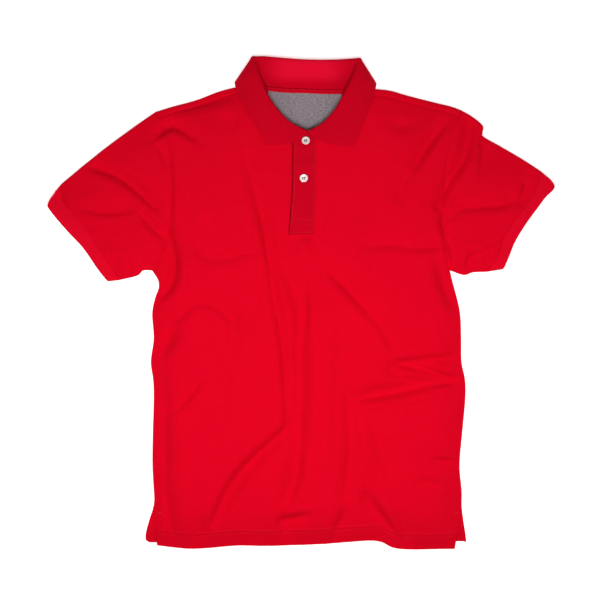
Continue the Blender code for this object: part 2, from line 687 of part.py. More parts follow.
def collar_rows():
    """The collar's outside, a row for each station, from the sewn edge over the roll to the leaf's
    free edge."""
    columns = []
    for field in ("seam_x", "seam_y", "roll_x", "roll_y", "edge_x", "edge_y", "side", "turn", "radius", "front"):
        values = [getattr(station, field) for station in COLLAR_STATIONS]
        line = smooth_line([(k, value) for k, value in enumerate(values)], 2)
        columns.append([point.y for point in line])
    rows = []
    for seam_x, seam_y, roll_x, roll_y, edge_x, edge_y, side, turn, radius, front in zip(*columns):
        front = min(max(front, 0.0), 1.0)
        turn = min(max(turn, -90), 90)
        seam_front = upper_height(seam_x, seam_y) - 0.5 * PIQUE
        seam_z = NECK_LIFT + 0.5 * PIQUE + (seam_front - NECK_LIFT - 0.5 * PIQUE) * front
        roll_z = ROLL_TOP_BACK + (ROLL_TOP_FRONT - ROLL_TOP_BACK) * front
        edge_front = upper_height(edge_x, edge_y) + 0.0012 + 0.5 * RIB
        edge_z = 0.5 * RIB + (edge_front - 0.5 * RIB) * front
        seam = Vector((seam_x, seam_y, seam_z))
        roll = Vector((roll_x, roll_y, roll_z))
        edge = Vector((edge_x, edge_y, edge_z))
        up = Vector((roll_x - seam_x, roll_y - seam_y, 0)).normalized()
        angle = math.radians(turn)
        outward = Vector((math.copysign(1, side) * math.cos(angle), 0, math.sin(angle)))
        centre = roll - up * radius
        start = centre - outward * radius
        end = centre + outward * radius
        row = [seam, seam.lerp(start, 0.33), seam.lerp(start, 0.67), start]
        for degrees in (-45, 0, 45):
            bend = math.radians(degrees)
            row.append(centre + up * radius * math.cos(bend) + outward * radius * math.sin(bend))
        row.append(end)
        for share in (0.25, 0.5, 0.75, 1.0):
            crown = LEAF_CROWN * math.sin(math.pi * share) * front
            sink = (end.z - edge.z) * (share - min(1.0, share * 2)) * ease(1 - 2 * front)
            row.append(end.lerp(edge, share) + Vector((0, 0, crown + sink)))
        rows.append(row)
    return rows


def make_collar():
    """One band of rib knit, sewn at the neckline, folded over at the roll."""
    middle = collar_rows()
    bm = bmesh.new()
    grid = [[bm.verts.new(p) for p in row] for row in middle]
    for i in range(len(grid) - 1):
        for j in range(len(grid[0]) - 1):
            bm.faces.new((grid[i][j], grid[i][j + 1], grid[i + 1][j + 1], grid[i + 1][j]))
    bm.normal_update()
    rows = [[vert.co + vert.normal * 0.5 * RIB for vert in row] for row in grid]
    bm.free()
    wall("collar", rows, RIB, RIB_RED, 0.85, square=False)


def back_neck_y(x):
    line = smooth_line([(SHOULDER_LEFT[-1].x, SHOULDER_LEFT[-1].y)] + list(BACK_NECK))
    line += smooth_line([BACK_NECK[-1], SHOULDER_RIGHT[-1]])[1:]
    for a, b in zip(line, line[1:]):
        if a.x <= x <= b.x:
            return a.y + (b.y - a.y) * (x - a.x) / (b.x - a.x)
    return line[-1].y


def make_patch_and_tape():
    """The half-moon patch on the inside of the back, and the tape over the neck seam."""
    top_z = NECK_LIFT + PIQUE + GAP + TAPE
    rows = []
    steps = 16
    for k in range(steps + 1):
        x = PATCH_LEFT + (PATCH_RIGHT - PATCH_LEFT) * k / steps
        half = 0.5 * (PATCH_RIGHT - PATCH_LEFT)
        along_x = (x - 0.5 * (PATCH_LEFT + PATCH_RIGHT)) / half
        top_y = back_neck_y(x) - 0.0010
        depth = 0.006 + (PATCH_DEPTH - 0.006) * math.sqrt(max(1 - along_x**2, 0))
        rows.append([Vector((x, top_y - depth * share, top_z)) for share in (1, 0.75, 0.5, 0.25, 0)])
    rows = rows[::-1]
    wall("neck_patch", rows, TAPE, MARL_GREY, 0.9)
    rows = []
    steps = 20
    tape_z = top_z + GAP + TAPE
    for k in range(steps + 1):
        x = PATCH_LEFT - 0.006 + (PATCH_RIGHT - PATCH_LEFT + 0.012) * k / steps
        y = back_neck_y(x) + 0.0003
        rows.append(
            [
                Vector((x, y - TAPE_HALF_WIDTH, tape_z)),
                Vector((x, y, tape_z)),
                Vector((x, y + TAPE_HALF_WIDTH, tape_z + 0.0004)),
            ]
        )
    rows = rows[::-1]
    wall("neck_tape", rows, TAPE, RIB_RED, 0.85)


def make_button(name, over, row_share, across_share, tilt):
    """A turned disc with a raised rim, a shallow dish and four holes."""
    rows = len(over) - 1
    place = at(over, row_share * rows, across_share * (len(over[0]) - 1), 0)
    profile = (
        (0.0, 0.0),
        (0.72 * BUTTON_RADIUS, 0.0),
        (0.95 * BUTTON_RADIUS, 0.3 * BUTTON_THICKNESS),
        (BUTTON_RADIUS, 0.6 * BUTTON_THICKNESS),
        (0.96 * BUTTON_RADIUS, 0.9 * BUTTON_THICKNESS),
        (BUTTON_RADIUS - 0.5 * BUTTON_RIM, BUTTON_THICKNESS),
        (BUTTON_RADIUS - BUTTON_RIM, 0.9 * BUTTON_THICKNESS),
        (0.62 * BUTTON_RADIUS, BUTTON_THICKNESS - BUTTON_DISH),
        (0.0, BUTTON_THICKNESS - BUTTON_DISH),
    )
    bm = bmesh.new()
    verts = [bm.verts.new((radius, 0, height)) for radius, height in profile]
    edges = [bm.edges.new(pair) for pair in zip(verts, verts[1:])]
    bmesh.ops.spin(bm, geom=verts + edges, cent=(0, 0, 0), axis=(0, 0, 1), angle=2 * math.pi, steps=28)
    bmesh.ops.remove_doubles(bm, verts=bm.verts, dist=0.00005)
    bmesh.ops.recalc_face_normals(bm, faces=bm.faces)
    made = add_object(name, bm, BUTTON_WHITE, 0.35, 35)
    half = 0.5 * BUTTON_HOLE_SPACING
    cutters = bmesh.new()
    for across in (-half, half):
        for up in (-half, half):
            bmesh.ops.create_cone(
                cutters,
                cap_ends=True,
                segments=10,
                radius1=BUTTON_HOLE_RADIUS,
                radius2=BUTTON_HOLE_RADIUS,
                depth=4 * BUTTON_THICKNESS,
                matrix=Matrix.Translation((across, up, 0)),
            )
    mesh = bpy.data.meshes.new(name + "_holes")
    cutters.to_mesh(mesh)
    cutters.free()
    holes = bpy.data.objects.new(name + "_holes", mesh)
    holes.hide_render = True
    holes.hide_viewport = False
    bpy.context.scene.collection.objects.link(holes)
    cut = made.modifiers.new("thread holes", "BOOLEAN")
    cut.operation = "DIFFERENCE"
    cut.solver = "EXACT"
    cut.object = holes
    clear = 0.0004 + BUTTON_RADIUS * abs(math.sin(tilt))
    placed = Matrix.Translation(place + Vector((0, 0, clear))) @ Matrix.Rotation(tilt, 4, "X")
    made.matrix_world = placed
    holes.matrix_world = placed
    bpy.context.view_layer.update()
    graph = bpy.context.evaluated_depsgraph_get()
    finished = bpy.data.meshes.new_from_object(made.evaluated_get(graph))
    finished.transform(placed)
    made.modifiers.clear()
    made.data = finished
    made.matrix_world = Matrix.Identity(4)
    bpy.data.objects.remove(holes)


def main():
    for old in list(bpy.data.objects):
        bpy.data.objects.remove(old)
    grid, notch_row, notch_column = make_front()
    make_back()
    make_sleeve("right_sleeve", SLEEVE_RIGHT_OF_WEARER, -1, "left")
    make_sleeve("left_sleeve", SLEEVE_LEFT_OF_WEARER, 1, "right")
    make_cuff("right_cuff", SLEEVE_RIGHT_OF_WEARER, -1)
    make_cuff("left_cuff", SLEEVE_LEFT_OF_WEARER, 1)
    over = make_placket(grid, notch_row, notch_column)
    make_collar()
    make_patch_and_tape()
    make_button("upper_button", over, 0.955, 0.52, math.radians(-8))
    make_button("lower_button", over, 0.60, 0.49, 0.0)


main()
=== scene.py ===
import math
from collections import namedtuple

import bpy
import bmesh
import numpy as np
from mathutils import Matrix, Vector, noise


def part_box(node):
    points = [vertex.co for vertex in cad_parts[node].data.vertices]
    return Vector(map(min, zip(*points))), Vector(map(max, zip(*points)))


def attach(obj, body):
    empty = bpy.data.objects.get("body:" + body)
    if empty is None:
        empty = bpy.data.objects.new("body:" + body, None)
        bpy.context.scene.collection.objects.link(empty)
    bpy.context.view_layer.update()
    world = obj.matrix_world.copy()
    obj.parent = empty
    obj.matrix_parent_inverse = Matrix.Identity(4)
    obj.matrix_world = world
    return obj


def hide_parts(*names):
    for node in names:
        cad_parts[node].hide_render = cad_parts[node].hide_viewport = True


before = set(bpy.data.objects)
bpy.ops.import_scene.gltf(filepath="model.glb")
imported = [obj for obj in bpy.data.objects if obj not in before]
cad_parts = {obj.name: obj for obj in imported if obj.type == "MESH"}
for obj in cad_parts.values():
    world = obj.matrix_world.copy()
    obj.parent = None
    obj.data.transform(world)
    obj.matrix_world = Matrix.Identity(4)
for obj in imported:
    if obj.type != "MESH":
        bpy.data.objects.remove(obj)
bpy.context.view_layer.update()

# Back panel: one piece of cotton pique knit, laid face down on the floor. It is cut wider below
# the side vents, rolls over both shoulder folds and ends in a seam on the front side of them.

PIXEL = 0.00156  # one pixel of the photograph on the cloth
PIQUE = 0.0012
SEAM_GAP = 0.00006
FLOOR_GAP = 0.0003
EDGE_TOP = 0.0029
LOFT_AT_FOLDS = 0.0086
LOFT_TOP = 0.0138
HEM_TOP = 0.0036
RISE = 0.045  # how far in from its sides the upper layer reaches its full height
LOFT_REACH = 0.050
HEM_REACH = 0.060
HEM_ZONE_TOP = -0.29
UNEVENNESS = ((0.0011, 0.055, 1.0), (0.0005, 0.022, 5.0))  # height, size and seed
NECK_LIFT = 0.0019
NECK_CENTRE_X = 0.0065
NECK_HALF_WIDTH = 0.130
NECK_LIFT_FROM_Y = 0.232
NECK_LIFT_FADE = 0.050
SHOULDER_SEAM_IN = 0.0100
SHOULDER_LEAN = (0.42, 0.22)  # how much its way in leans sideways, and how much less at the neck
ARMPIT_LEVEL = 0.050
HEM_TURN = 0.0250
TWIN_NEEDLE = 0.0060
STITCH_LIFT = 0.0001


def metres(table, kind=None):
    """Rows that are written in millimetres, as tuples or as a named kind of row."""
    rows = [tuple(value / 1000 for value in row) for row in table]
    return [kind(*row) for row in rows] if kind else rows


Section = namedtuple("Section", "level left right")
BODY_SECTIONS = metres(
    (
        (-384, -225.5, 239.5), (-340, -228.5, 246.5), (-300, -230.5, 250.5), (-255, -233, 247),
        (-205, -232.5, 251), (-150, -231, 256), (-120, -232, 255.5), (-92, -235.5, 250), (-55, -231, 249.5),
        (-18, -233.5, 248), (7, -229, 243), (24, -223, 238.5), (37, -225, 235), (50, -233.5, 232),
        (79, -215, 225.5), (113, -207, 220.5), (160, -203, 220.5), (207, -203, 225), (240, -207.5, 230),
        (270, -215.5, 238.5), (300, -229, 250),
    ),
    Section,
)
VENT_SECTIONS = metres(
    ((-376, -243, 258), (-362, -244, 256.5), (-339, -238, 253), (-318, -231.5, 250.5)), Section
)
BACK_HEM = metres(((-243, -371.5), (-225, -375), (0, -371.5), (230, -373), (258, -374)))
SHOULDER_LEFT = metres(((-228.5, 298), (-201, 306.5), (-164, 317), (-129, 330), (-101, 336.8), (-81, 339)))
SHOULDER_RIGHT = metres(
    ((250, 300.5), (232, 307), (211, 312), (164, 324), (139, 331), (114, 333.8), (92, 335))
)
BACK_NECK = metres(((-61, 334.5), (-25, 330.8), (6, 330), (37, 328.5), (69, 329.5)))
SLEEVE_FOLD_RIGHT = metres(((-228.5, 298), (-267, 271), (-318, 233), (-375, 186)))
SLEEVE_FOLD_LEFT = metres(
    ((250, 300.5), (269, 289.5), (284, 275), (282.5, 261.5), (310, 245), (344, 225), (374, 205.5))
)
UNDERARM_RIGHT = metres(((-233.5, 50), (-248, 50), (-257, 42), (-285, 35)))
UNDERARM_LEFT = metres(((232, 50), (254, 43), (268, 47), (290, 48)))
FRONT_HEM = metres(
    (
        (-225.5, -379), (-189, -383.5), (-156, -384.2), (-101, -379.5), (-50, -380), (37, -376.8),
        (100, -372), (124, -374), (154, -385), (239, -384.5),
    )
)

SOFTEN = 0.0008
DEEPER = 2.6  # the creases of the soft cloth, against the depths in their table
BROAD_SHARE = 0.6  # how much of a broad fold's depth the soft cloth keeps
LOW_AT = 0.7  # the low of a one-sided crease lies this many half widths off its line
GENTLE = 2.3  # its gentle side against its steep one
SWELLING = 0.2  # the cloth pushed up beside a crease, against the crease's depth
SWELLING_OFF = 2.2  # how many half widths off the line it lies
STEEP_SWELLING_OFF = 2.7  # and how many off the low of a one-sided crease

# Broad folds that the solids have too, in millimetres: three places, half width, and depth, which
# is minus for a hollow
BROAD_FOLDS = (
    (-325, 205, -265, 178, -226, 150, 13, -3),  # right sleeve drag
    (-290, 172, -253, 152, -222, 118, 13, 1.8),  # right sleeve ridge
    (-252, 134, -235, 114, -223, 104, 11, -1.8),  # right sleeve hollow
    (-200, 120, -195, 55, -222, 6, 11, -3),  # right armpit
    (-225, 260, -196, 272, -166, 252, 12, -2),  # right shoulder
    (-165, 85, -132, 63, -72, 72, 13, -1.8),  # right chest
    (-220, -15, -165, -5, -105, -35, 14, -2),  # right side hollow
    (-157, -124, -175, -145, -205, -170, 14, -1.8),  # right side drag
    (-67, 140, -45, 0, -28, -180, 13, -2.4),  # centre long
    (4, 20, 3, -190, -15, -320, 15, -1.8),  # centre broad
    (35, -20, 37, -150, 30, -300, 18, 1.4),  # centre ridge
    (-27, -185, -98, -262, -146, -375, 15, -3),  # lower right sweep
    (-120, -215, -165, -285, -185, -350, 24, 1.8),  # lower right bulge
    (38, 48, 90, -12, 134, -80, 17, -1.6),  # left diagonal
    (130, -96, 190, -112, 248, -130, 12, -2.6),  # left waist upper
    (120, -122, 175, -130, 225, -132, 12, 1.4),  # left waist ridge
    (92, -155, 155, -142, 240, -126, 12, -2.8),  # left waist lower
    (72, -140, 70, -250, 60, -340, 16, -2.2),  # lower left long
    (104, -297, 128, -340, 158, -378, 13, -2.2),  # lower left hem
    (95, 84, 150, 88, 222, 84, 12, -2.2),  # left chest
    (228, 282, 190, 222, 156, 160, 13, -2.6),  # left shoulder
    (264, 282, 246, 200, 217, 135, 13, -3.2),  # left armhole drag
    (236, 128, 280, 148, 342, 168, 13, -2.8),  # left sleeve drag
    (252, 52, 268, 78, 310, 104, 12, -2),  # left sleeve low
)

# Creases: three places in pixels of the photograph, half width and depth in millimetres, and the
# side with the steep wall: 1 is left of the way along the crease, -1 is right, 0 is both alike
UPPER_CREASES = (
    (86, 167, 122, 182, 158, 214, 5.2, 3.2, -1), (137, 212, 148, 226, 162, 240, 4.5, 2.1, -1),
    (76, 210, 105, 215, 138, 211, 5, 1.5, -1), (61, 190, 65, 203, 73, 217, 4.5, 1.6, 1),
    (117, 256, 117, 264, 118, 273, 5, 1.4, 1), (131, 258, 132, 266, 133, 274, 4, 1.2, 1),
    (90, 238, 100, 239, 110, 237, 5, 0.8, 1), (155, 140, 172, 129, 196, 143, 4.8, 2.6, -1),
    (153, 145, 160, 155, 168, 170, 5, 1.4, -1), (168, 225, 176, 258, 174, 286, 6, 4.5, 1),
    (175, 280, 168, 292, 157, 302, 5, 3.0, 1), (168, 150, 173, 190, 172, 235, 5, 1.6, 1),
    (178, 312, 172, 335, 152, 362, 12, 2.2, 0), (160, 318, 165, 335, 160, 352, 12, 1.5, 0),
    (158, 317, 176, 321, 196, 306, 5, 1.6, -1), (192, 305, 213, 308, 234, 326, 5, 2.0, -1),
    (168, 416, 184, 405, 203, 380, 5.5, 1.8, -1), (191, 245, 204, 259, 226, 261, 5.5, 1.5, -1),
    (222, 262, 240, 257, 262, 254, 5.5, 1.3, -1), (211, 212, 219, 235, 230, 250, 6, 1.3, 1),
    (257, 212, 265, 255, 272, 300, 4.5, 2.7, -1), (270, 292, 280, 345, 284, 412, 4.5, 3.0, -1),
    (286, 405, 284, 425, 276, 438, 4.5, 2.4, -1), (240, 150, 256, 210, 276, 262, 7, 2.4, -1),
    (272, 250, 288, 292, 298, 325, 8, 2.6, -1), (307, 288, 306, 315, 305, 344, 4.5, 2.4, 1),
    (303, 312, 304, 380, 302, 450, 7.5, 4.4, 1), (302, 440, 298, 478, 288, 506, 6.5, 3.8, 1),
    (207, 527, 235, 475, 286, 424, 6, 4.6, 1), (206, 512, 204, 534, 206, 551, 6, 1.3, 1),
    (326, 272, 350, 296, 374, 324, 6.5, 3.0, -1), (370, 318, 384, 338, 390, 358, 7, 1.8, -1),
    (385, 362, 412, 359, 460, 353, 6, 3.6, 1), (386, 363, 404, 370, 430, 377, 4.5, -1.0, 0),
    (386, 366, 404, 376, 436, 381, 4.5, 1.5, 1), (408, 365, 438, 371, 465, 383, 4.8, 2.6, 1),
    (354, 401, 388, 396, 440, 386, 6, 4.4, -1), (430, 386, 446, 384, 465, 380, 4, 2.6, -1),
    (344, 388, 347, 445, 340, 505, 6.5, 2.4, -1), (362, 410, 377, 455, 386, 482, 8, 2.0, -1),
    (372, 455, 368, 490, 366, 520, 14, 1.4, 0), (364, 490, 384, 516, 405, 549, 6, 3.0, 1),
    (275, 521, 292, 516, 312, 511, 4.5, 2.4, 1), (331, 551, 336, 525, 346, 500, 6, 2.2, 1),
    (168, 551, 166, 520, 162, 488, 6, 2.0, 1), (281, 551, 281, 532, 277, 512, 6, 2.2, 1),
    (404, 551, 402, 532, 394, 512, 6, 2.0, 1), (430, 457, 445, 459, 460, 462, 4, 1.8, 1),
    (417, 477, 430, 480, 442, 484, 4, 1.4, 1), (434, 264, 443, 294, 460, 320, 7, 2.6, -1),
    (440, 228, 447, 246, 452, 266, 5, 2.4, -1), (360, 250, 385, 247, 412, 249, 5.5, 1.3, -1),
    (412, 251, 430, 249, 449, 248, 5.5, 1.7, -1), (448, 122, 427, 150, 412, 175, 5.2, 3.2, 1),
    (412, 172, 404, 188, 400, 204, 8, 1.6, 1), (474, 118, 466, 158, 450, 184, 5.2, 3.4, 1),
    (454, 178, 444, 196, 439, 212, 5.0, 3.0, 1), (440, 208, 440, 222, 444, 236, 5, 2.0, -1),
    (481, 145, 480, 158, 476, 176, 5, 1.6, -1), (448, 222, 462, 211, 480, 209, 5.5, 1.6, -1),
    (474, 209, 498, 208, 516, 203, 5.5, 2.0, -1), (514, 204, 521, 194, 523, 180, 5, 1.8, 1),
    (462, 276, 468, 256, 484, 249, 6, 2.0, 1), (480, 250, 494, 245, 507, 235, 5.5, 1.6, 1),
    (332, 195, 325, 220, 317, 245, 8, 1.2, 1), (380, 150, 372, 190, 364, 225, 12, 1.0, 0),
    (165, 372, 168, 440, 166, 500, 9, 2.4, 1), (204, 335, 222, 372, 222, 410, 12, 1.0, 0),
    (240, 300, 232, 330, 236, 372, 12, 1.0, 0), (326, 300, 326, 380, 322, 470, 13, -1.8, 0),
    (290, 320, 291, 380, 291, 440, 5, -1.0, 0), (236, 99, 214, 104, 176, 113, 6, 1.6, 1),
    (235, 112, 236, 122, 236, 134, 6, 1.2, 1), (178, 155, 186, 190, 184, 232, 12, 1.0, 0),
    (303, 238, 304, 247, 304, 257, 9, -1.6, 0), (388, 118, 400, 126, 420, 122, 9, 1.0, 0),
)

# Soft creases of the back, which a hand finds when the shirt is turned over
UNDER_CREASES = (
    (186, 160, 215, 190, 260, 205, 9, 1.3, 0), (420, 150, 395, 185, 345, 205, 9, 1.2, 0),
    (300, 150, 297, 260, 306, 380, 10, 1.2, 0), (175, 320, 215, 335, 262, 330, 8, 1.1, 1),
    (440, 370, 400, 382, 345, 378, 8, 1.3, 1), (190, 430, 232, 462, 262, 515, 9, 1.2, 0),
    (400, 440, 378, 480, 372, 530, 9, 1.1, 0),
)


def soft_line(places, pieces=8):
    """A smooth line through places, as short straight pieces."""
    points = np.array(places, float)
    ends = np.vstack([2 * points[0] - points[1], points, 2 * points[-1] - points[-2]])
    line = []
    for k in range(len(points) - 1):
        a, b, c, d = ends[k : k + 4]
        for step in range(pieces):
            t = step / pieces
            curve = 2 * b + (c - a) * t + (2 * a - 5 * b + 4 * c - d) * t**2 + (3 * b - a - 3 * c + d) * t**3
            line.append(0.5 * curve)
    line.append(points[-1])
    return np.array(line)


def lengths(ways):
    return np.linalg.norm(ways, axis=-1)


def line_y(line, xs):
    """The height up the picture of a line that runs across it."""
    return np.interp(xs, line[:, 0], line[:, 1])


def hump(off, width):
    """1 in the middle of a fold, seam or dip, and softly nothing past its width."""
    return np.exp(-((off / width) ** 2))


def spaced(line, count):
    """Places at equal steps along a line, both ends included."""
    steps = lengths(np.diff(line, axis=0))
    run = np.concatenate([[0], np.cumsum(steps)])
    wanted = np.linspace(0, run[-1], count + 1)
    return np.stack([np.interp(wanted, run, line[:, k]) for k in range(line.shape[1])], axis=1)


def off_line(line, places):
    """Distance of places from a line, how far along it their foot is, and their side of it."""
    best = np.full(places.shape[:-1], 1e9)
    share = np.zeros_like(best)
    side = np.ones_like(best)
    for k in range(len(line) - 1):
        way = line[k + 1] - line[k]
        off = places - line[k]
        t = np.clip((off @ way) / max(way @ way, 1e-12), 0, 1)
        gap = lengths(off - t[..., None] * way)
        nearer = gap < best
        best = np.where(nearer, gap, best)
        share = np.where(nearer, (k + t) / (len(line) - 1), share)
        side = np.where(nearer, np.sign(way[0] * off[..., 1] - way[1] * off[..., 0]), side)
    return best, share, side


def ease(t):
    t = np.clip(t, 0, 1)
    return t * t * (3 - 2 * t)


def pixel_place(x, y):
    return (x - 301) * PIXEL, (302.5 - y) * PIXEL


def crease_heights(creases, places):
    """Troughs with a soft swelling of the cloth along both sides, or ridges where depth is negative."""
    flat = places.reshape(-1, 2)
    height = np.zeros(len(flat))
    for x0, y0, x1, y1, x2, y2, width, depth, steep in creases:
        line = soft_line((pixel_place(x0, y0), pixel_place(x1, y1), pixel_place(x2, y2)), 6)
        width *= 0.001
        near = np.all((flat > line.min(0) - 6 * width) & (flat < line.max(0) + 6 * width), axis=1)
        gap, share, side = off_line(line, flat[near])
        fade = np.sqrt(np.sin(np.pi * np.clip(share, 0.005, 0.995)))
        if steep == 0:
            trough = hump(gap, width) - SWELLING * hump(gap - SWELLING_OFF * width, width)
        else:
            from_low = gap * side * steep / width + LOW_AT
            trough = hump(from_low, np.where(from_low > 0, 1.0, GENTLE))
            trough -= SWELLING * hump(from_low - STEEP_SWELLING_OFF, 1)
        height[near] -= 0.001 * depth * trough * fade
    return height.reshape(places.shape[:-1])


def section_column(sections, level, column):
    """One edge of a table of sections at any level, with a corner at the armpit."""
    levels = np.array([row.level for row in sections])
    values = np.array([getattr(row, column) for row in sections])
    corner = int(np.argmin(abs(levels - ARMPIT_LEVEL)))
    low = soft_line(np.stack([levels[: corner + 1], values[: corner + 1]], 1), 6)
    high = soft_line(np.stack([levels[corner:], values[corner:]], 1), 6)
    whole = np.vstack([low, high[1:]])
    return line_y(whole, level)


def ripple(places, size, seed):
    """A gentle unevenness of hand-laid cloth, the same on every run."""
    flat = places.reshape(-1, 2)
    found = [noise.noise(Vector((x / size, y / size, seed))) for x, y in flat]
    return np.array(found).reshape(places.shape[:-1])


SIDE_LINES = []
for column, underarm in (("left", UNDERARM_RIGHT), ("right", UNDERARM_LEFT)):
    sides = [(getattr(row, column), row.level) for row in BODY_SECTIONS if row.level <= ARMPIT_LEVEL]
    SIDE_LINES.append(np.array(sides + underarm[1:]))
TOP_LINES = (
    np.array(SHOULDER_LEFT[::-1] + SLEEVE_FOLD_RIGHT[1:]),
    np.array(SHOULDER_RIGHT[::-1] + SLEEVE_FOLD_LEFT[1:]),
)
HEM_LINE = soft_line(FRONT_HEM)


def upper_height(places):
    """Height of the outside of the upper layer: low along the seams, loose between them, creased."""
    away = np.minimum(*(off_line(line, places)[0] for line in SIDE_LINES))
    inside = np.minimum(*(off_line(line, places)[0] for line in TOP_LINES))
    loft = LOFT_AT_FOLDS + (LOFT_TOP - LOFT_AT_FOLDS) * ease(inside / LOFT_REACH)
    rise = np.sin(0.5 * np.pi * np.minimum(away / RISE, 1))
    height = EDGE_TOP + (loft - EDGE_TOP) * rise
    hem = HEM_TOP + (LOFT_TOP - HEM_TOP) * ease(off_line(HEM_LINE, places)[0] / HEM_REACH)
    height = np.where(places[..., 1] < HEM_ZONE_TOP, np.minimum(height, hem), height)
    for *line, width, depth in metres(BROAD_FOLDS):
        gap, share, side = off_line(soft_line(np.reshape(line, (3, 2)), 4), places)
        fade = 0.45 + 0.55 * np.sin(np.pi * np.clip(share, 0, 1))
        height += BROAD_SHARE * depth * hump(gap, width) * fade * rise
    height += DEEPER * crease_heights(UPPER_CREASES, places) * np.clip(rise * 1.4, 0.2, 1)
    height += sum(high * ripple(places, size, seed) for high, size, seed in UNEVENNESS) * rise
    return EDGE_TOP + SOFTEN * np.logaddexp(0, (height - EDGE_TOP) / SOFTEN)


GRID_STEP = 0.0020
grid_xs = np.arange(-0.410, 0.4101, GRID_STEP)
grid_ys = np.arange(-0.400, 0.4001, GRID_STEP)
height_grid = upper_height(np.dstack(np.meshgrid(grid_xs, grid_ys)))


def cloth_top(places):
    """The upper layer's height at any places, read off a grid of it."""
    u = np.clip((places[..., 0] - grid_xs[0]) / GRID_STEP, 0, len(grid_xs) - 1.001)
    v = np.clip((places[..., 1] - grid_ys[0]) / GRID_STEP, 0, len(grid_ys) - 1.001)
    j = np.floor(u).astype(int)
    i = np.floor(v).astype(int)
    s = v - i
    t = u - j
    low = height_grid[i, j] * (1 - t) + height_grid[i, j + 1] * t
    high = height_grid[i + 1, j] * (1 - t) + height_grid[i + 1, j + 1] * t
    return low * (1 - s) + high * s


def top_at(x, y):
    return cloth_top(np.array([[x, y]]))[0]


def under_lift(places):
    """How far the back panel is held up by the collar's leaf that lies under it."""
    across = ease(1 - (abs(places[..., 0] - NECK_CENTRE_X) - NECK_HALF_WIDTH) / NECK_LIFT_FADE)
    down = ease(1 - (NECK_LIFT_FROM_Y - places[..., 1]) / NECK_LIFT_FADE)
    return NECK_LIFT * across * down


def shoulder_inward(side, share):
    across = SHOULDER_LEAN[0] - SHOULDER_LEAN[1] * share
    return np.array([-side * across, -math.sqrt(1 - across**2)])


def top_edge(neck, counts, inset):
    """The top edge of a panel, moved in from the shoulder folds by inset."""
    left = spaced(soft_line(SHOULDER_LEFT), counts[0])
    right = spaced(soft_line(SHOULDER_RIGHT), counts[-1])
    left = np.array([p + shoulder_inward(-1, k / counts[0]) * inset for k, p in enumerate(left)])
    right = np.array([p + shoulder_inward(1, k / counts[-1]) * inset for k, p in enumerate(right)])
    middle = neck(left[-1], right[-1])
    return np.vstack([left, middle[1:-1], right[::-1]])


def panel_places(sections, hem, top, hem_xs, row_shares):
    """Places over a panel, in rows from hem to top, blended from its four edges."""
    bottom = np.stack([hem_xs, line_y(soft_line(hem), hem_xs)], 1)
    across = np.linspace(0, 1, len(bottom))[:, None]
    rows = []
    for v in row_shares:
        plain = bottom * (1 - v) + top * v
        left_y = plain[0, 1]
        right_y = plain[-1, 1]
        left = np.array([section_column(sections, left_y, "left"), left_y])
        right = np.array([section_column(sections, right_y, "right"), right_y])
        rows.append(plain + (left - plain[0]) * (1 - across) + (right - plain[-1]) * across)
    return np.array(rows)


def new_piece(name, data):
    """An object in the scene, the only one selected."""
    piece = bpy.data.objects.new(name, data)
    bpy.context.scene.collection.objects.link(piece)
    bpy.ops.object.select_all(action="DESELECT")
    piece.select_set(True)
    bpy.context.view_layer.objects.active = piece
    return piece


def cloth(name, points, thickness, material, ring=False, left_out=None, centred=False, angle=60):
    """A shell of cloth: its outside through a grid of points, thickened inwards, its edges closed.
    Its UV map runs in metres along and across the cloth."""
    rows, columns = points.shape[:2]
    verts = points.reshape(-1, 3)
    used = ~np.isnan(verts[:, 0])
    steps_u = lengths(np.diff(points, axis=1))
    steps_v = lengths(np.diff(points, axis=0))
    run_u = np.concatenate([np.zeros((rows, 1)), np.cumsum(np.nan_to_num(steps_u), axis=1)], axis=1)
    run_v = np.concatenate([np.zeros((1, columns)), np.cumsum(np.nan_to_num(steps_v), axis=0)], axis=0)
    new_number = np.cumsum(used) - 1
    faces = []
    corners_uv = []
    last = columns if ring else columns - 1
    for i in range(rows - 1):
        for j in range(last):
            k = (j + 1) % columns
            corner = (i * columns + j, i * columns + k, (i + 1) * columns + k, (i + 1) * columns + j)
            if not used[list(corner)].all() or (left_out is not None and left_out(i, j)):
                continue
            faces.append([int(new_number[c]) for c in corner])
            wide = run_u[i, j] + 0.003 if k == 0 else run_u[i, k]
            corners_uv += [(run_u[i, j], run_v[i, j]), (wide, run_v[i, k]), (wide, run_v[i + 1, k])]
            corners_uv.append((run_u[i, j], run_v[i + 1, j]))
    mesh = bpy.data.meshes.new(name)
    mesh.from_pydata([tuple(v) for v in verts[used]], [], faces)
    uv = mesh.uv_layers.new(name="cloth")
    uv.data.foreach_set("uv", np.array(corners_uv, np.float32).ravel())
    piece = new_piece(name, mesh)
    bpy.ops.object.mode_set(mode="EDIT")
    bpy.ops.mesh.select_all(action="SELECT")
    bpy.ops.mesh.delete_loose()
    bpy.ops.object.mode_set(mode="OBJECT")
    shell = piece.modifiers.new("thickness", "SOLIDIFY")
    shell.thickness = thickness
    shell.offset = 0 if centred else -1
    shell.use_even_offset = False
    bpy.ops.object.modifier_apply(modifier="thickness")
    for vert in piece.data.vertices:
        vert.co.z = max(vert.co.z, 0.0001)
    bpy.ops.object.shade_smooth_by_angle(angle=math.radians(angle))
    piece.data.materials.append(material)
    return piece


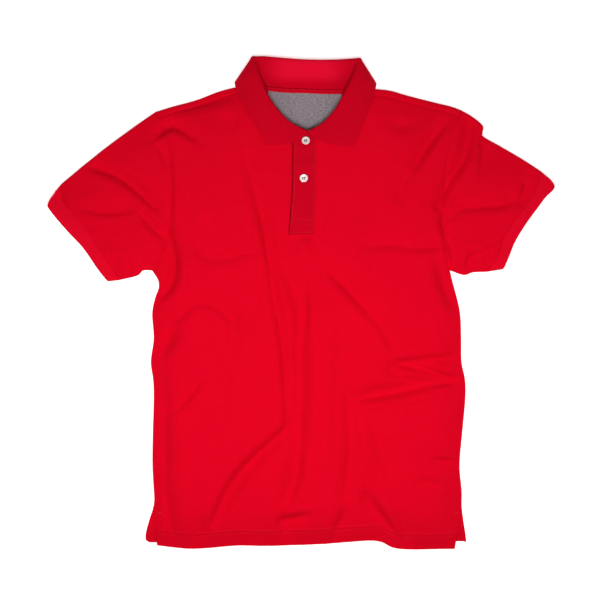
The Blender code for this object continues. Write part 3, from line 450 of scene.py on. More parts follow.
def stitches(name, lines, pitch=0.0030, length=0.0022, thick=0.00036):
    """Short raised stitches along lines on the cloth, joined into one piece."""
    verts = []
    faces = []
    for line in lines:
        run = lengths(np.diff(line, axis=0)).sum()
        spots = spaced(line, max(2, int(run / pitch)))
        for a, b in zip(spots[:-1], spots[1:]):
            middle = 0.5 * (a + b)
            way = (b - a) / max(lengths(b - a), 1e-9)
            aside = np.cross(way, (0, 0, 1))
            aside /= max(lengths(aside), 1e-9)
            above = np.cross(aside, way)
            first = len(verts)
            verts += [middle - way * 0.5 * length, middle + way * 0.5 * length]
            for end in (-0.28, 0.28):
                for over, along in ((1, 0), (0, 1), (-1, 0), (0, -1)):
                    verts.append(middle + way * end * length + (aside * over * 0.8 + above * along) * thick)
            for k in range(4):
                m = (k + 1) % 4
                faces.append((first, first + 2 + m, first + 2 + k))
                faces.append((first + 2 + k, first + 2 + m, first + 6 + m, first + 6 + k))
                faces.append((first + 1, first + 6 + k, first + 6 + m))
    mesh = bpy.data.meshes.new(name)
    mesh.from_pydata([tuple(v) for v in verts], [], faces)
    piece = new_piece(name, mesh)
    bpy.ops.object.mode_set(mode="EDIT")
    bpy.ops.mesh.select_all(action="SELECT")
    bpy.ops.mesh.normals_make_consistent(inside=False)
    bpy.ops.object.mode_set(mode="OBJECT")
    bpy.ops.object.shade_smooth()
    piece.data.materials.append(sewing_thread)
    return piece


def feed(tree, node, inputs):
    """Gives inputs of a node their values, or links to other nodes."""
    for slot, value in inputs.items():
        if isinstance(value, bpy.types.NodeSocket):
            tree.links.new(value, node.inputs[slot])
        else:
            node.inputs[slot].default_value = value


def node_of(tree, kind, inputs, **settings):
    made = tree.nodes.new(kind)
    for key, value in settings.items():
        setattr(made, key, value)
    feed(tree, made, inputs)
    return made.outputs


def maths(tree, operation, *values):
    return node_of(tree, "ShaderNodeMath", dict(enumerate(values)), operation=operation)[0]


def noise_of(tree, where, scale, detail):
    return node_of(tree, "ShaderNodeTexNoise", {"Vector": where, "Scale": scale, "Detail": detail})[0]


def smooth_step(tree, value, start, end):
    inputs = {0: value, 1: start, 2: end}
    return node_of(tree, "ShaderNodeMapRange", inputs, interpolation_type="SMOOTHSTEP")[0]


def mixed(tree, share, dark, light):
    return node_of(tree, "ShaderNodeMix", {0: share, 6: dark, 7: light}, data_type="RGBA")[2]


def raised_by(tree, height, strength, distance):
    return node_of(tree, "ShaderNodeBump", {"Strength": strength, "Distance": distance, "Height": height})[0]


def new_material(name):
    """A material, its nodes, its shader and the coordinates that its textures use."""
    made = bpy.data.materials.new(name)
    made.use_nodes = True
    tree = made.node_tree
    return made, tree, tree.nodes["Principled BSDF"], node_of(tree, "ShaderNodeTexCoord", {})


def knit(name, dark, light, pitch, raised, rib=None, hem=None, sheen=0.06, painted_light_inside=None):
    """Knitted cloth: small raised cells in staggered rows, a little uneven in colour at random, with painted
    shade darker in the gaps between cells and in the hollows of a rib, and a soft sheen from its loose
    fibres. A rib is (axis of the UV map, pitch); a hem is turned double and painted darker as shade, and
    painted_light_inside is a painted pool of light on the inside of the collar: (its middle, half width,
    lower end)."""
    made, tree, shader, where = new_material(name)
    along = node_of(tree, "ShaderNodeSeparateXYZ", {0: where["UV"]})
    u = maths(tree, "MULTIPLY", along[0], math.tau / pitch[0])
    v = maths(tree, "MULTIPLY", along[1], math.tau / pitch[1])
    first = maths(tree, "SINE", maths(tree, "ADD", u, v))
    second = maths(tree, "SINE", maths(tree, "SUBTRACT", u, v))
    cells = maths(tree, "MULTIPLY_ADD", maths(tree, "MULTIPLY", first, second), 0.5, 0.5)
    cloud = noise_of(tree, where["Object"], 14, 3)
    fuzz = noise_of(tree, where["Object"], 1400, 2)
    # The gaps between the raised cells are painted darker as shade; the fuzz and cloud vary the tone at
    # random.
    tone = maths(tree, "MULTIPLY_ADD", cells, 0.45, maths(tree, "MULTIPLY", fuzz, 0.45))
    tone = maths(tree, "MULTIPLY_ADD", cloud, 0.25, tone)
    height = maths(tree, "MULTIPLY_ADD", cells, 0.8, maths(tree, "MULTIPLY", fuzz, 0.5))
    if rib is not None:
        wave = maths(tree, "SINE", maths(tree, "MULTIPLY", along[rib[0]], math.tau / rib[1]))
        wave = maths(tree, "MULTIPLY_ADD", wave, 0.5, 0.5)
        height = maths(tree, "MULTIPLY_ADD", wave, 1.4, height)
        # The hollows between the ribs are painted darker as shade.
        tone = maths(tree, "MULTIPLY", tone, maths(tree, "MULTIPLY_ADD", wave, 0.3, 0.7))
    # Painted shade: the cloth is painted darker over the doubled hem.
    if hem is not None:
        hem_painted_shade = smooth_step(tree, along[1], hem + 0.003, hem - 0.004)
        tone = maths(tree, "MULTIPLY_ADD", hem_painted_shade, -0.30, tone)
    colour = mixed(tree, tone, (*dark, 1), (*light, 1))
    # Painted light: the inside of the collar stand is washed lighter where light falls in.
    if painted_light_inside is not None:
        place = node_of(tree, "ShaderNodeSeparateXYZ", {0: where["Object"]})
        aside = maths(tree, "ABSOLUTE", maths(tree, "SUBTRACT", place[0], painted_light_inside[0]))
        inner = smooth_step(tree, aside, painted_light_inside[1], painted_light_inside[1] * 0.35)
        upper = smooth_step(tree, place[1], painted_light_inside[2], painted_light_inside[2] + 0.020)
        share = maths(tree, "MULTIPLY", maths(tree, "MULTIPLY", inner, upper), 0.6)
        colour = mixed(tree, share, colour, (0.95, 0.006, 0.04, 1))
    looks = {
        "Base Color": colour,
        "Normal": raised_by(tree, height, 0.5, raised),
        "Roughness": maths(tree, "MULTIPLY_ADD", cloud, 0.12, 0.80),
        "Specular IOR Level": 0.08,
        "Specular Tint": (1.0, 0.15, 0.25, 1),
        "Sheen Weight": sheen,
        "Sheen Roughness": 0.40,
        "Sheen Tint": (1.0, 0.05, 0.12, 1),
    }
    feed(tree, shader, looks)
    return made


PIQUE_DARK = (0.54, 0.0005, 0.010)
PIQUE_LIGHT = (0.76, 0.0010, 0.015)
PIQUE_CELL = (0.0017, 0.0013)
PIQUE_RAISE = 0.00022
body_pique = knit("body_pique", PIQUE_DARK, PIQUE_LIGHT, PIQUE_CELL, PIQUE_RAISE, hem=HEM_TURN)

sewing_thread, tree, shader, where = new_material("sewing_thread")
turns = {"Scale": 900, "Vector": where["Object"]}
twist = node_of(tree, "ShaderNodeTexWave", turns, wave_type="BANDS", bands_direction="DIAGONAL")["Fac"]
thread_colour = mixed(tree, twist, (0.52, 0.001, 0.012, 1), (0.74, 0.004, 0.022, 1))
feed(tree, shader, {"Base Color": thread_colour, "Roughness": 0.55})

back_counts = (24, 40, 26)  # columns: shoulder, neckline, shoulder
BACK_ROWS = 110
SEAM_PRESS = 0.0010


def back_neck(left, right):
    return spaced(soft_line([left, *BACK_NECK, right]), back_counts[1])


back_top = top_edge(back_neck, back_counts, 0.0)
inward = {k: shoulder_inward(-1, k / back_counts[0]) for k in range(back_counts[0] + 1)}
for k in range(back_counts[2] + 1):
    inward[len(back_top) - 1 - k] = shoulder_inward(1, k / back_counts[2])
fold_low = under_lift(back_top) + FLOOR_GAP
fold_radius = 0.5 * (cloth_top(back_top - np.array([0, 0.008])) - fold_low)
flat_top = back_top.copy()
for k, way in inward.items():
    flat_top[k] = back_top[k] + way * fold_radius[k]
back_sections = VENT_SECTIONS + [row for row in BODY_SECTIONS if row.level > -0.31]
back_hem_xs = np.linspace(BACK_HEM[0][0], BACK_HEM[-1][0], len(back_top))
back_places = panel_places(back_sections, BACK_HEM, flat_top, back_hem_xs, np.linspace(0, 1, BACK_ROWS))
back_low = under_lift(back_places) + FLOOR_GAP + np.maximum(-crease_heights(UNDER_CREASES, back_places), 0)
back_low += 0.00025 * np.abs(ripple(back_places, 0.05, 3.0))
back_points = [np.dstack([back_places, back_low])[k] for k in range(len(back_places))]
for degrees in (-65, -40, -15, 10, 35, 60, 90):
    turn = math.radians(degrees)
    row = np.full((len(back_top), 3), np.nan)
    for k, way in inward.items():
        row[k, :2] = flat_top[k] - way * fold_radius[k] * math.cos(turn)
        row[k, 2] = fold_low[k] + fold_radius[k] * (1 + math.sin(turn))
    back_points.append(row)
for inset in (0.0068, 0.0085, SHOULDER_SEAM_IN):
    row = np.full((len(back_top), 3), np.nan)
    for k, way in inward.items():
        row[k, :2] = back_top[k] + way * inset
    held = cloth_top(np.nan_to_num(row[:, :2])) - SEAM_PRESS * (inset == SHOULDER_SEAM_IN)
    row[:, 2] = np.where(np.isnan(row[:, 0]), np.nan, held)
    back_points.append(row)
back_shell = cloth("back_shell", np.array(back_points)[:, ::-1], PIQUE, body_pique)
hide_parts("back_panel")
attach(back_shell, "root")

# The twin needle leaves two rows of stitches round the back's turned hem, seen inside at the vents
back_hem_line = soft_line(BACK_HEM)
seen_rows = []
for height_on in (0.0, PIQUE):
    for up in (HEM_TURN, HEM_TURN - TWIN_NEEDLE):
        xs = np.linspace(-0.2400, 0.2550, 120)
        row_places = np.stack([xs, line_y(back_hem_line, xs) + up], 1)
        lift = FLOOR_GAP + np.maximum(-crease_heights(UNDER_CREASES, row_places), 0)
        lift += height_on + STITCH_LIFT
        seen_rows.append(np.column_stack([row_places, lift]))
back_hem_stitches = stitches("back_hem_stitches", seen_rows, pitch=0.0034)
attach(back_hem_stitches, "root")

# Neck patch and neck tape: a half-moon of grey marl jersey sewn inside the back of the neck, and a
# narrow band of rib over the neck seam. Both lie on the back panel and are edge-stitched to it.

TAPE = 0.0010
PATCH_LEFT = -0.0520
PATCH_RIGHT = 0.0630
PATCH_DEPTH = 0.0780
PATCH_SIDE = 0.006  # its depth at its two ends
PATCH_ROWS = 25
PATCH_COLUMNS = 61
TAPE_HALF_WIDTH = 0.0032
TAPE_PAST_PATCH = 0.006
TAPE_COLUMNS = 90
TAPE_CURL = (-0.0003, 0.0002, 0.0003, 0.0, 0.0004, 0.0006, 0.0004)  # across it
GAP = 0.0003
PATCH_TOP = NECK_LIFT + FLOOR_GAP + PIQUE + GAP + TAPE


def patch_height(places):
    return PATCH_TOP + 0.0007 * np.abs(ripple(places, 0.02, 7.0))


marl_grey, tree, shader, where = new_material("marl_grey")
stretched = node_of(tree, "ShaderNodeMapping", {"Scale": (0.35, 1.6, 1), 0: where["Object"]})
ramp = tree.nodes.new("ShaderNodeValToRGB")
for end, position, colour in ((0, 0.36, (0.170, 0.142, 0.155, 1)), (1, 0.64, (0.330, 0.280, 0.305, 1))):
    ramp.color_ramp.elements[end].position = position
    ramp.color_ramp.elements[end].color = colour
feed(tree, ramp, {0: noise_of(tree, stretched[0], 620, 4)})
rows_of_loops = {"Scale": 260, "Vector": where["Object"]}
loops = node_of(tree, "ShaderNodeTexWave", rows_of_loops, wave_type="BANDS", bands_direction="X")["Fac"]
bump = raised_by(tree, loops, 0.4, 0.0002)
looks = {"Base Color": ramp.outputs[0], "Normal": bump, "Roughness": 0.9, "Specular IOR Level": 0.2}
feed(tree, shader, looks)

RIB_DARK = (0.46, 0.0005, 0.010)
RIB_LIGHT = (0.68, 0.0012, 0.016)
# Painted light on the inside of the collar stand: its middle across, half width and lower end.
PAINTED_LIGHT_INSIDE = (0.0065, 0.076, 0.338)
rib_red = knit("rib_red", RIB_DARK, RIB_LIGHT, (0.0015, 0.0015), 0.00028, (0, 0.0023), painted_light_inside=PAINTED_LIGHT_INSIDE)

neck_line = soft_line([SHOULDER_LEFT[-1], *BACK_NECK, SHOULDER_RIGHT[-1]])
patch_xs = np.linspace(PATCH_LEFT, PATCH_RIGHT, PATCH_COLUMNS)
half = 0.5 * (PATCH_RIGHT - PATCH_LEFT)
patch_top = line_y(neck_line, patch_xs) - 0.0010
round_off = np.sqrt(np.clip(1 - ((patch_xs - 0.5 * (PATCH_LEFT + PATCH_RIGHT)) / half) ** 2, 0, 1))
patch_depth = PATCH_SIDE + (PATCH_DEPTH - PATCH_SIDE) * round_off
shares = np.linspace(1, 0, PATCH_ROWS)
patch = np.zeros((PATCH_ROWS, PATCH_COLUMNS, 3))
patch[..., 0] = patch_xs
patch[..., 1] = patch_top - patch_depth * shares[:, None]
patch[..., 2] = patch_height(patch[..., :2])
neck_half_moon = cloth("neck_half_moon", patch, TAPE, marl_grey)
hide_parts("neck_patch")
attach(neck_half_moon, "root")

tape_xs = np.linspace(PATCH_LEFT - TAPE_PAST_PATCH, PATCH_RIGHT + TAPE_PAST_PATCH, TAPE_COLUMNS)
tape_y = line_y(neck_line, tape_xs) + 0.0003
tape = np.zeros((len(TAPE_CURL), TAPE_COLUMNS, 3))
tape[..., 0] = tape_xs
tape[..., 1] = tape_y + np.linspace(-TAPE_HALF_WIDTH, TAPE_HALF_WIDTH, len(TAPE_CURL))[:, None]
tape[..., 2] = PATCH_TOP + GAP + TAPE + 0.0004 + np.array(TAPE_CURL)[:, None]
neck_band = cloth("neck_band", tape, TAPE, rib_red)
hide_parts("neck_tape")
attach(neck_band, "root")

edge_places = np.stack([patch_xs[1:-1], (patch_top - patch_depth)[1:-1] + 0.0020], 1)
neck_rows = [np.column_stack([edge_places, patch_height(edge_places)]), tape[1], tape[5]]
neck_stitches = stitches("neck_stitches", neck_rows, pitch=0.0026, length=0.0019, thick=0.0003)
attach(neck_stitches, "root")

# Front panel: one piece of the same pique, shoulder seams to hem, notched for the placket. It lies
# loose on the back with the creases of a shirt laid down by hand, and its hem is turned up.

PLACKET_LEFT = -0.0157
PLACKET_RIGHT = 0.0203
PLACKET_BOTTOM_SHARE = 0.7630
FRONT_NECK_LEFT = ((-0.0764, 0.3160), (-0.0608, 0.2880), (-0.0359, 0.2680), (PLACKET_LEFT, 0.2575))
FRONT_NECK_RIGHT = ((0.0890, 0.3160), (0.0764, 0.2900), (0.0515, 0.2680), (PLACKET_RIGHT, 0.2575))

ARMHOLE_DIP = 0.0016
SHOULDER_DIP = 0.0012
SEAM_DIP_WIDTH = 0.0028
HEM_RAISE = 0.0006
STITCHED_WIDTH = 0.0018
BAR_TACK = 0.0020  # the close stitches over the end of a vent

armhole_lines = []
for column in ("left", "right"):
    levels = np.linspace(ARMPIT_LEVEL, 0.292, 40)
    armhole_lines.append(np.stack([section_column(BODY_SECTIONS, levels, column), levels], 1))
shoulder_lines = []
for side, table in ((-1, SHOULDER_LEFT), (1, SHOULDER_RIGHT)):
    fold = spaced(soft_line(table), 30)
    seam = [p + shoulder_inward(side, k / 30) * (SHOULDER_SEAM_IN + 0.0001) for k, p in enumerate(fold)]
    shoulder_lines.append(np.array(seam))


def front_top(places):
    """Height of the front's outside: the loose cloth, pulled down at its seams and hem stitches."""
    height = cloth_top(places)
    from_hem = off_line(HEM_LINE, places)[0]
    held = hump(from_hem - HEM_TURN, STITCHED_WIDTH)
    held += hump(from_hem - HEM_TURN + TWIN_NEEDLE, STITCHED_WIDTH)
    height = height + np.where(from_hem < HEM_TURN + 0.001, HEM_RAISE, 0) - HEM_RAISE * held
    height += 0.0005 * ripple(places * np.array([3.2, 0.8]), 0.02, 9.0) * np.exp(-from_hem / 0.03)
    for lines, dip in ((armhole_lines, ARMHOLE_DIP), (shoulder_lines, SHOULDER_DIP)):
        for line in lines:
            height -= dip * hump(off_line(line, places)[0], SEAM_DIP_WIDTH)
    return height


front_counts = (46, 36, 12, 36, 52)  # columns: shoulder, neckline, notch, neckline, shoulder
BODY_ROWS = 155
ARMHOLE_ROWS = 30
NOTCH_ROWS = 58


def front_neck(left, right):
    first = spaced(soft_line([left, *FRONT_NECK_LEFT]), front_counts[1])
    middle = spaced(np.array([FRONT_NECK_LEFT[-1], FRONT_NECK_RIGHT[-1]]), front_counts[2])
    second = spaced(soft_line([right, *FRONT_NECK_RIGHT]), front_counts[3])[::-1]
    return np.vstack([first, middle[1:-1], second])


front_edge = top_edge(front_neck, front_counts, SHOULDER_SEAM_IN + SEAM_GAP)
notch_columns = (sum(front_counts[:2]), sum(front_counts[:3]))
notch_left_x = PLACKET_LEFT - 0.0190
notch_right_x = PLACKET_RIGHT + 0.0030
front_hem_xs = np.concatenate([
    np.linspace(FRONT_HEM[0][0], notch_left_x, notch_columns[0] + 1)[:-1],
    np.linspace(notch_left_x, notch_right_x, front_counts[2] + 1)[:-1],
    np.linspace(notch_right_x, FRONT_HEM[-1][0], front_counts[3] + front_counts[4] + 1),
])
armpit_share = (ARMPIT_LEVEL - FRONT_HEM[0][1]) / (front_edge[0][1] - FRONT_HEM[0][1])
front_shares = np.concatenate([
    np.linspace(0, armpit_share, BODY_ROWS + 1)[:-1],
    np.linspace(armpit_share, PLACKET_BOTTOM_SHARE, ARMHOLE_ROWS + 1)[:-1],
    np.linspace(PLACKET_BOTTOM_SHARE, 1, NOTCH_ROWS + 1),
])
notch_row = BODY_ROWS + ARMHOLE_ROWS
front_places = panel_places(BODY_SECTIONS, FRONT_HEM, front_edge, front_hem_xs, front_shares)
front_points = np.dstack([front_places, front_top(front_places)])


def in_notch(i, j):
    return i >= notch_row and notch_columns[0] <= j < notch_columns[1]


front_shell = cloth("front_shell", front_points, PIQUE, body_pique, left_out=in_notch)
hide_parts("front_panel")
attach(front_shell, "root")

hem_rows = []
for up in (HEM_TURN, HEM_TURN - TWIN_NEEDLE):
    xs = np.linspace(FRONT_HEM[0][0] + 0.002, FRONT_HEM[-1][0] - 0.002, 160)
    row_places = np.stack([xs, line_y(HEM_LINE, xs) + up], 1)
    hem_rows.append(np.column_stack([row_places, front_top(row_places) + STITCH_LIFT]))
for side, x in ((-1, -0.2258), (1, 0.2458)):
    vent_top = np.array([[x - side * 0.002, -0.3290], [x - side * 0.007, -0.3292]])
    for step in np.linspace(0, BAR_TACK, 4):
        bar = spaced(vent_top + np.array([0, step]), 2)
        hem_rows.append(np.column_stack([bar, front_top(bar) + STITCH_LIFT]))
front_hem_stitches = stitches("front_hem_stitches", hem_rows, pitch=0.0034)
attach(front_hem_stitches, "root")

# Placket: two strips of pique. The under one fills the notch and carries the buttons. The top one
# lies over it with its free edge on the wearer's right, and is sewn down at its other edge and foot.


def on_front(rows, columns, lift):
    """Points on the front panel at fractions of its rows and columns, moved up."""
    i = np.clip(np.floor(rows).astype(int), 0, len(front_points) - 2)
    j = np.clip(np.floor(columns).astype(int), 0, len(front_points[0]) - 2)
    s = (rows - i)[:, None, None]
    t = (columns - j)[None, :, None]
    near = front_points[i][:, j] * (1 - t) + front_points[i][:, j + 1] * t
    far = front_points[i + 1][:, j] * (1 - t) + front_points[i + 1][:, j + 1] * t
    found = near * (1 - s) + far * s
    found[..., 2] += lift
    return found


# Painted shade: the placket is the body's pique painted darker.
placket_pique_painted_shade = knit("placket_pique_painted_shade", (0.43, 0.0005, 0.010), (0.63, 0.0010, 0.015), PIQUE_CELL, PIQUE_RAISE)
last_row = len(front_points) - 1
cells = front_counts[2]
under_rows = np.linspace(notch_row + 0.3, last_row + 2.8, 50)
under_columns = notch_columns[0] + np.linspace(0.95, cells - 0.12, 14)
under_points = on_front(under_rows, under_columns, 0.0)
placket_under = cloth("placket_under_strip", under_points, PIQUE, placket_pique_painted_shade)
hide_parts("placket_under")
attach(placket_under, "root")

BUTTON_PLACES = ((305.2, 140.9), (303.3, 178.3))  # in pixels of the photograph
RECESS = 0.0015  # how far a sewn button pulls the cloth round it down
RECESS_RING = 0.0070
OVER_ROWS = 110
OVER_COLUMNS = 30
over_rows = np.linspace(notch_row - 0.2, last_row + 3.0, OVER_ROWS)
over_columns = notch_columns[0] + np.linspace(0.5, cells + 0.35, OVER_COLUMNS)
over_points = on_front(over_rows, over_columns, PIQUE + GAP)
across = np.linspace(0, 1, OVER_COLUMNS)[None, :]
upward = np.linspace(0, 1, OVER_ROWS)[:, None]
over_points[..., 0] -= 0.0013 * ease(1 - upward / 0.06) * (1 - across)
over_points[..., 2] += 0.0012 * hump(across, 0.13) * ease((upward - 0.10) / 0.12)
# Its stitched lines press it down, and it swells between the buttons
for along, middle, half_width, raised in (
    (across, 0.06, 0.03, -0.0007),
    (across, 0.94, 0.03, -0.0007),
    (across, 1.0, 0.03, -0.0009),
    (upward, 0.015, 0.012, -0.0008),
    (upward, 0.140, 0.012, -0.0008),
    (upward, 0.66, 0.06, 0.0011),
    (upward, 0.78, 0.04, -0.0006),
):
    over_points[..., 2] += raised * hump(along - middle, half_width)
for x, y in BUTTON_PLACES:
    from_button = lengths(over_points[..., :2] - np.array(pixel_place(x, y)))
    over_points[..., 2] -= RECESS * hump(from_button - RECESS_RING, 0.0023)
placket_over = cloth("placket_top_strip", over_points, PIQUE, placket_pique_painted_shade)
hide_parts("placket_top")
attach(placket_over, "root")

raise_thread = np.array([0, 0, STITCH_LIFT])
placket_rows = [over_points[8:100, 2] + raise_thread, over_points[2:106, 27] + raise_thread]
for level in (2, 15):
    placket_rows.append(over_points[level, 1:29] + raise_thread)
placket_stitches = stitches("placket_stitches", placket_rows, pitch=0.0028, length=0.0021, thick=0.00032)
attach(placket_stitches, "root")

# Sleeves: each one piece of pique, folded along its top and closed by the underarm seam, so that
# it lies as a flattened tube. The wearer's left one is pushed up into a bump at its shoulder.

Sleeve = namedtuple("Sleeve", "name side column fold underarm cuff_seam mouth")
CUFF_SEAM_RIGHT = metres(
    ((-285, 35), (-300, 59), (-330, 105), (-356, 138), (-370, 154), (-376, 169), (-375, 186))
)
MOUTH_RIGHT = metres(
    ((-302.5, 33), (-317, 52), (-340, 85), (-366, 113), (-391, 143), (-395, 155), (-382, 177))
)
CUFF_SEAM_LEFT = metres(
    ((290, 48), (306, 70), (313, 93), (326, 117), (345, 145), (361, 169), (369, 184), (374, 205.5))
)
MOUTH_LEFT = metres(
    ((315, 52), (324, 74), (333, 96), (349, 122), (365, 144), (380, 164), (394.2, 179.5), (387, 194))
)
SLEEVES = (
    Sleeve("right", -1, "left", SLEEVE_FOLD_RIGHT, UNDERARM_RIGHT, CUFF_SEAM_RIGHT, MOUTH_RIGHT),
    Sleeve("left", 1, "right", SLEEVE_FOLD_LEFT, UNDERARM_LEFT, CUFF_SEAM_LEFT, MOUTH_LEFT),
)
CUFF_DIP = 0.0009
CUFF_DIP_WIDTH = 0.0022
across_count = 112
along_count = 76


def tube_loop(row, lift):
    """One loop round a flattened tube: underneath, round the fold and back over the top."""
    out = (row[-1] - row[-3]) / lengths(row[-1] - row[-3])
    top_here = top_at(*(row[-1] - out * 0.006)) + lift[-1]
    radius = 0.5 * (top_here - FLOOR_GAP)
    centre = row[-1] - out * radius
    edge_out = (row[0] - row[2]) / lengths(row[0] - row[2])
    small = 0.5 * (EDGE_TOP - FLOOR_GAP)
    low_centre = row[0] - edge_out * small
    from_fold = lengths(row - row[-1])
    from_seam = lengths(row - row[0])
    inner = row[(from_fold > radius) & (from_seam > small)]
    count = len(row)
    inner = spaced(np.vstack([low_centre, inner, centre]), count - 1)
    loop = [np.array([*p, FLOOR_GAP]) for p in inner]
    for degrees in (-60, -30, 0, 30, 60):
        turn = math.radians(degrees)
        out_point = centre + out * radius * math.cos(turn)
        loop.append(np.array([*out_point, FLOOR_GAP + radius * (1 + math.sin(turn))]))
    heights = cloth_top(inner) + np.interp(np.linspace(0, 1, count), np.linspace(0, 1, len(lift)), lift)
    heights[-1] = FLOOR_GAP + 2 * radius
    heights[0] = EDGE_TOP
    loop += [np.array([*p, h]) for p, h in zip(inner[::-1], heights[::-1])]
    for share in (0.8, 0.2):
        loop.append(np.array([*(low_centre + edge_out * small * 0.75), FLOOR_GAP + small * 2 * share]))
    return np.array(loop)


sleeve_pique = knit("sleeve_pique", PIQUE_DARK, PIQUE_LIGHT, PIQUE_CELL, PIQUE_RAISE)
for sleeve in SLEEVES:
    levels = np.linspace(ARMPIT_LEVEL, sleeve.fold[0][1], 60)
    side_xs = section_column(BODY_SECTIONS, levels, sleeve.column) + sleeve.side * SEAM_GAP
    armhole = spaced(np.stack([side_xs, levels], 1), across_count)
    cuff_line = spaced(soft_line(sleeve.cuff_seam), across_count)
    fold_line = spaced(soft_line(sleeve.fold), along_count)
    under_line = spaced(soft_line(sleeve.underarm), along_count)
    fold_line[0] = armhole[-1]
    under_line[0] = armhole[0]
    loops = []
    w = np.linspace(0, 1, across_count + 1)[:, None]
    for k in range(along_count + 1):
        s = k / along_count
        row = armhole * (1 - s) + cuff_line * s + under_line[k] * (1 - w) + fold_line[k] * w
        row -= (armhole[0] * (1 - s) + cuff_line[0] * s) * (1 - w)
        row -= (armhole[-1] * (1 - s) + cuff_line[-1] * s) * w
        lift = -ARMHOLE_DIP * hump(lengths(row - armhole), SEAM_DIP_WIDTH)
        lift -= CUFF_DIP * hump(lengths(row - cuff_line), CUFF_DIP_WIDTH)
        loops.append(tube_loop(row, lift)[:: sleeve.side])
    sleeve_shell = cloth(sleeve.name + "_sleeve_shell", np.array(loops), PIQUE, sleeve_pique, ring=True)
    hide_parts(sleeve.name + "_sleeve")
    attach(sleeve_shell, "root")

# Cuffs: a doubled band of rib knit round the end of each sleeve, with its ribs running round the
# arm, sewn to the sleeve by an overlocked seam.

RIB_COUNT = 6
RIB_RAISE = 0.00022
cuff_columns = 66
CUFF_DARK = (0.58, 0.0010, 0.013)
CUFF_LIGHT = (0.78, 0.0025, 0.020)
cuff_red = knit("cuff_red", CUFF_DARK, CUFF_LIGHT, (0.0015, 0.0012), 0.0001, sheen=0.25)
for sleeve in SLEEVES:
    seam_line = spaced(soft_line(sleeve.cuff_seam), cuff_columns)
    mouth_line = spaced(soft_line(sleeve.mouth), cuff_columns)
    ways = (mouth_line - seam_line) / lengths(mouth_line - seam_line)[:, None]
    start_line = seam_line + ways * SEAM_GAP
    loops = []
    steps = RIB_COUNT * 6
    for k in range(steps + 1):
        s = k / steps
        row = start_line * (1 - s) + mouth_line * s
        wave = RIB_RAISE * math.cos(math.tau * RIB_COUNT * s)
        rounded = 0.0008 * hump(1 - s, 0.06) + 0.0007 * hump(s, 0.06)
        lift = np.full(len(row), wave - rounded + 0.0003)
        loops.append(tube_loop(row, lift)[:: sleeve.side])
    cuff_shell = cloth(sleeve.name + "_cuff_shell", np.array(loops), PIQUE, cuff_red, ring=True)
    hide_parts(sleeve.name + "_cuff")
    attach(cuff_shell, "root")

# Collar: one band of flat rib knit sewn into the neckline. It stands up inside the neck, folds over
# at the roll, lies on the front as two pointed leaves and passes under the back.

RIB = 0.0015
LEAF_CROWN = 0.0026
SEAM_LIFTED = 0.0030  # at the collar's ends, over the placket
LEAF_LIFTED = 0.0015  # the leaf on the wearer's right stands off the cloth at its edge
# Places round the collar, in millimetres: its sewn edge, roll and free edge (x, y of each), the side,
# how far it is turned over in degrees, the roll's radius, 1 on the front to 0 at the back, the
# height of the roll and how far the leaf bows down
COLLAR_STATIONS = (
    (8, 262.2, 10.8, 266, -53, 244.9, -1, 90, 1.6, 1, 16.6, 8.8),
    (-16.5, 260.5, -13.5, 277.8, -61, 260, -1, 90, 2.2, 1, 17.5, 3.5),
    (-37.5, 270, -28, 289.5, -70, 275.5, -1, 90, 2.8, 1, 18, 0.8),
    (-59.5, 289, -42, 306.5, -81, 292.5, -1, 88, 3.2, 1, 18.9, 0),
    (-71.5, 309, -53, 324, -90.5, 309.5, -1, 82, 3.4, 1, 19.5, 0),
    (-76.5, 326, -62, 345.5, -97.5, 324.5, -1, 68, 3.4, 1, 19.6, 0),
    (-78.5, 337, -70, 365.5, -102, 334.5, -1, 38, 3.2, 1, 18.8, 0),
    (-77.5, 342, -75.7, 381.5, -104, 344, -1, 0, 3, 0.42, 16, 0),
    (-72.5, 341, -70.5, 383, -99, 333, -1, -38, 3, 0, 13, 0),
    (-63, 337.5, -59, 383.5, -86, 321, -1, -72, 3.2, 0, 11.6, 0),
    (-45, 334.5, -41, 382, -58, 314, -1, -90, 3.4, 0, 11.2, 0),
    (-20.5, 332.2, -17, 380, -26, 310, -1, -90, 3.6, 0, 11, 0),
    (7, 331.5, 7, 378.5, 7, 309, 1, -90, 3.6, 0, 11, 0),
    (34, 330.2, 35, 378, 41, 309.5, 1, -90, 3.6, 0, 11, 0),
    (59, 330.5, 59, 378.5, 74, 312, 1, -90, 3.4, 0, 11.2, 0),
    (77, 333.5, 75.5, 379.5, 98, 318.5, 1, -72, 3.2, 0, 12, 0),
    (86, 337.5, 85.5, 380, 113, 331.2, 1, -38, 3, 0, 13.6, 0),
    (89, 338.5, 90.5, 379, 116.5, 342.5, 1, 0, 3, 0.42, 16, 0),
    (89.5, 333, 84.5, 364, 114.5, 331.5, 1, 38, 3.2, 1, 18.8, 0),
    (88.5, 322, 76, 345.5, 111.5, 321, 1, 68, 3.4, 1, 19.6, 0),
    (84.5, 308.5, 65.5, 324, 106, 305, 1, 82, 3.4, 1, 19.5, 0),
    (73.5, 290.5, 56, 306, 99.5, 288, 1, 88, 3.2, 1, 18.9, 0),
    (50, 270.5, 42, 288, 93, 271, 1, 90, 2.8, 1, 18.4, 0.8),
    (30, 260.5, 28.5, 276, 86.5, 255, 1, 90, 2.2, 1, 18.6, 3),
    (12, 262.2, 9.2, 266, 79.5, 242, 1, 90, 1.6, 1, 18.4, 7.4),
)


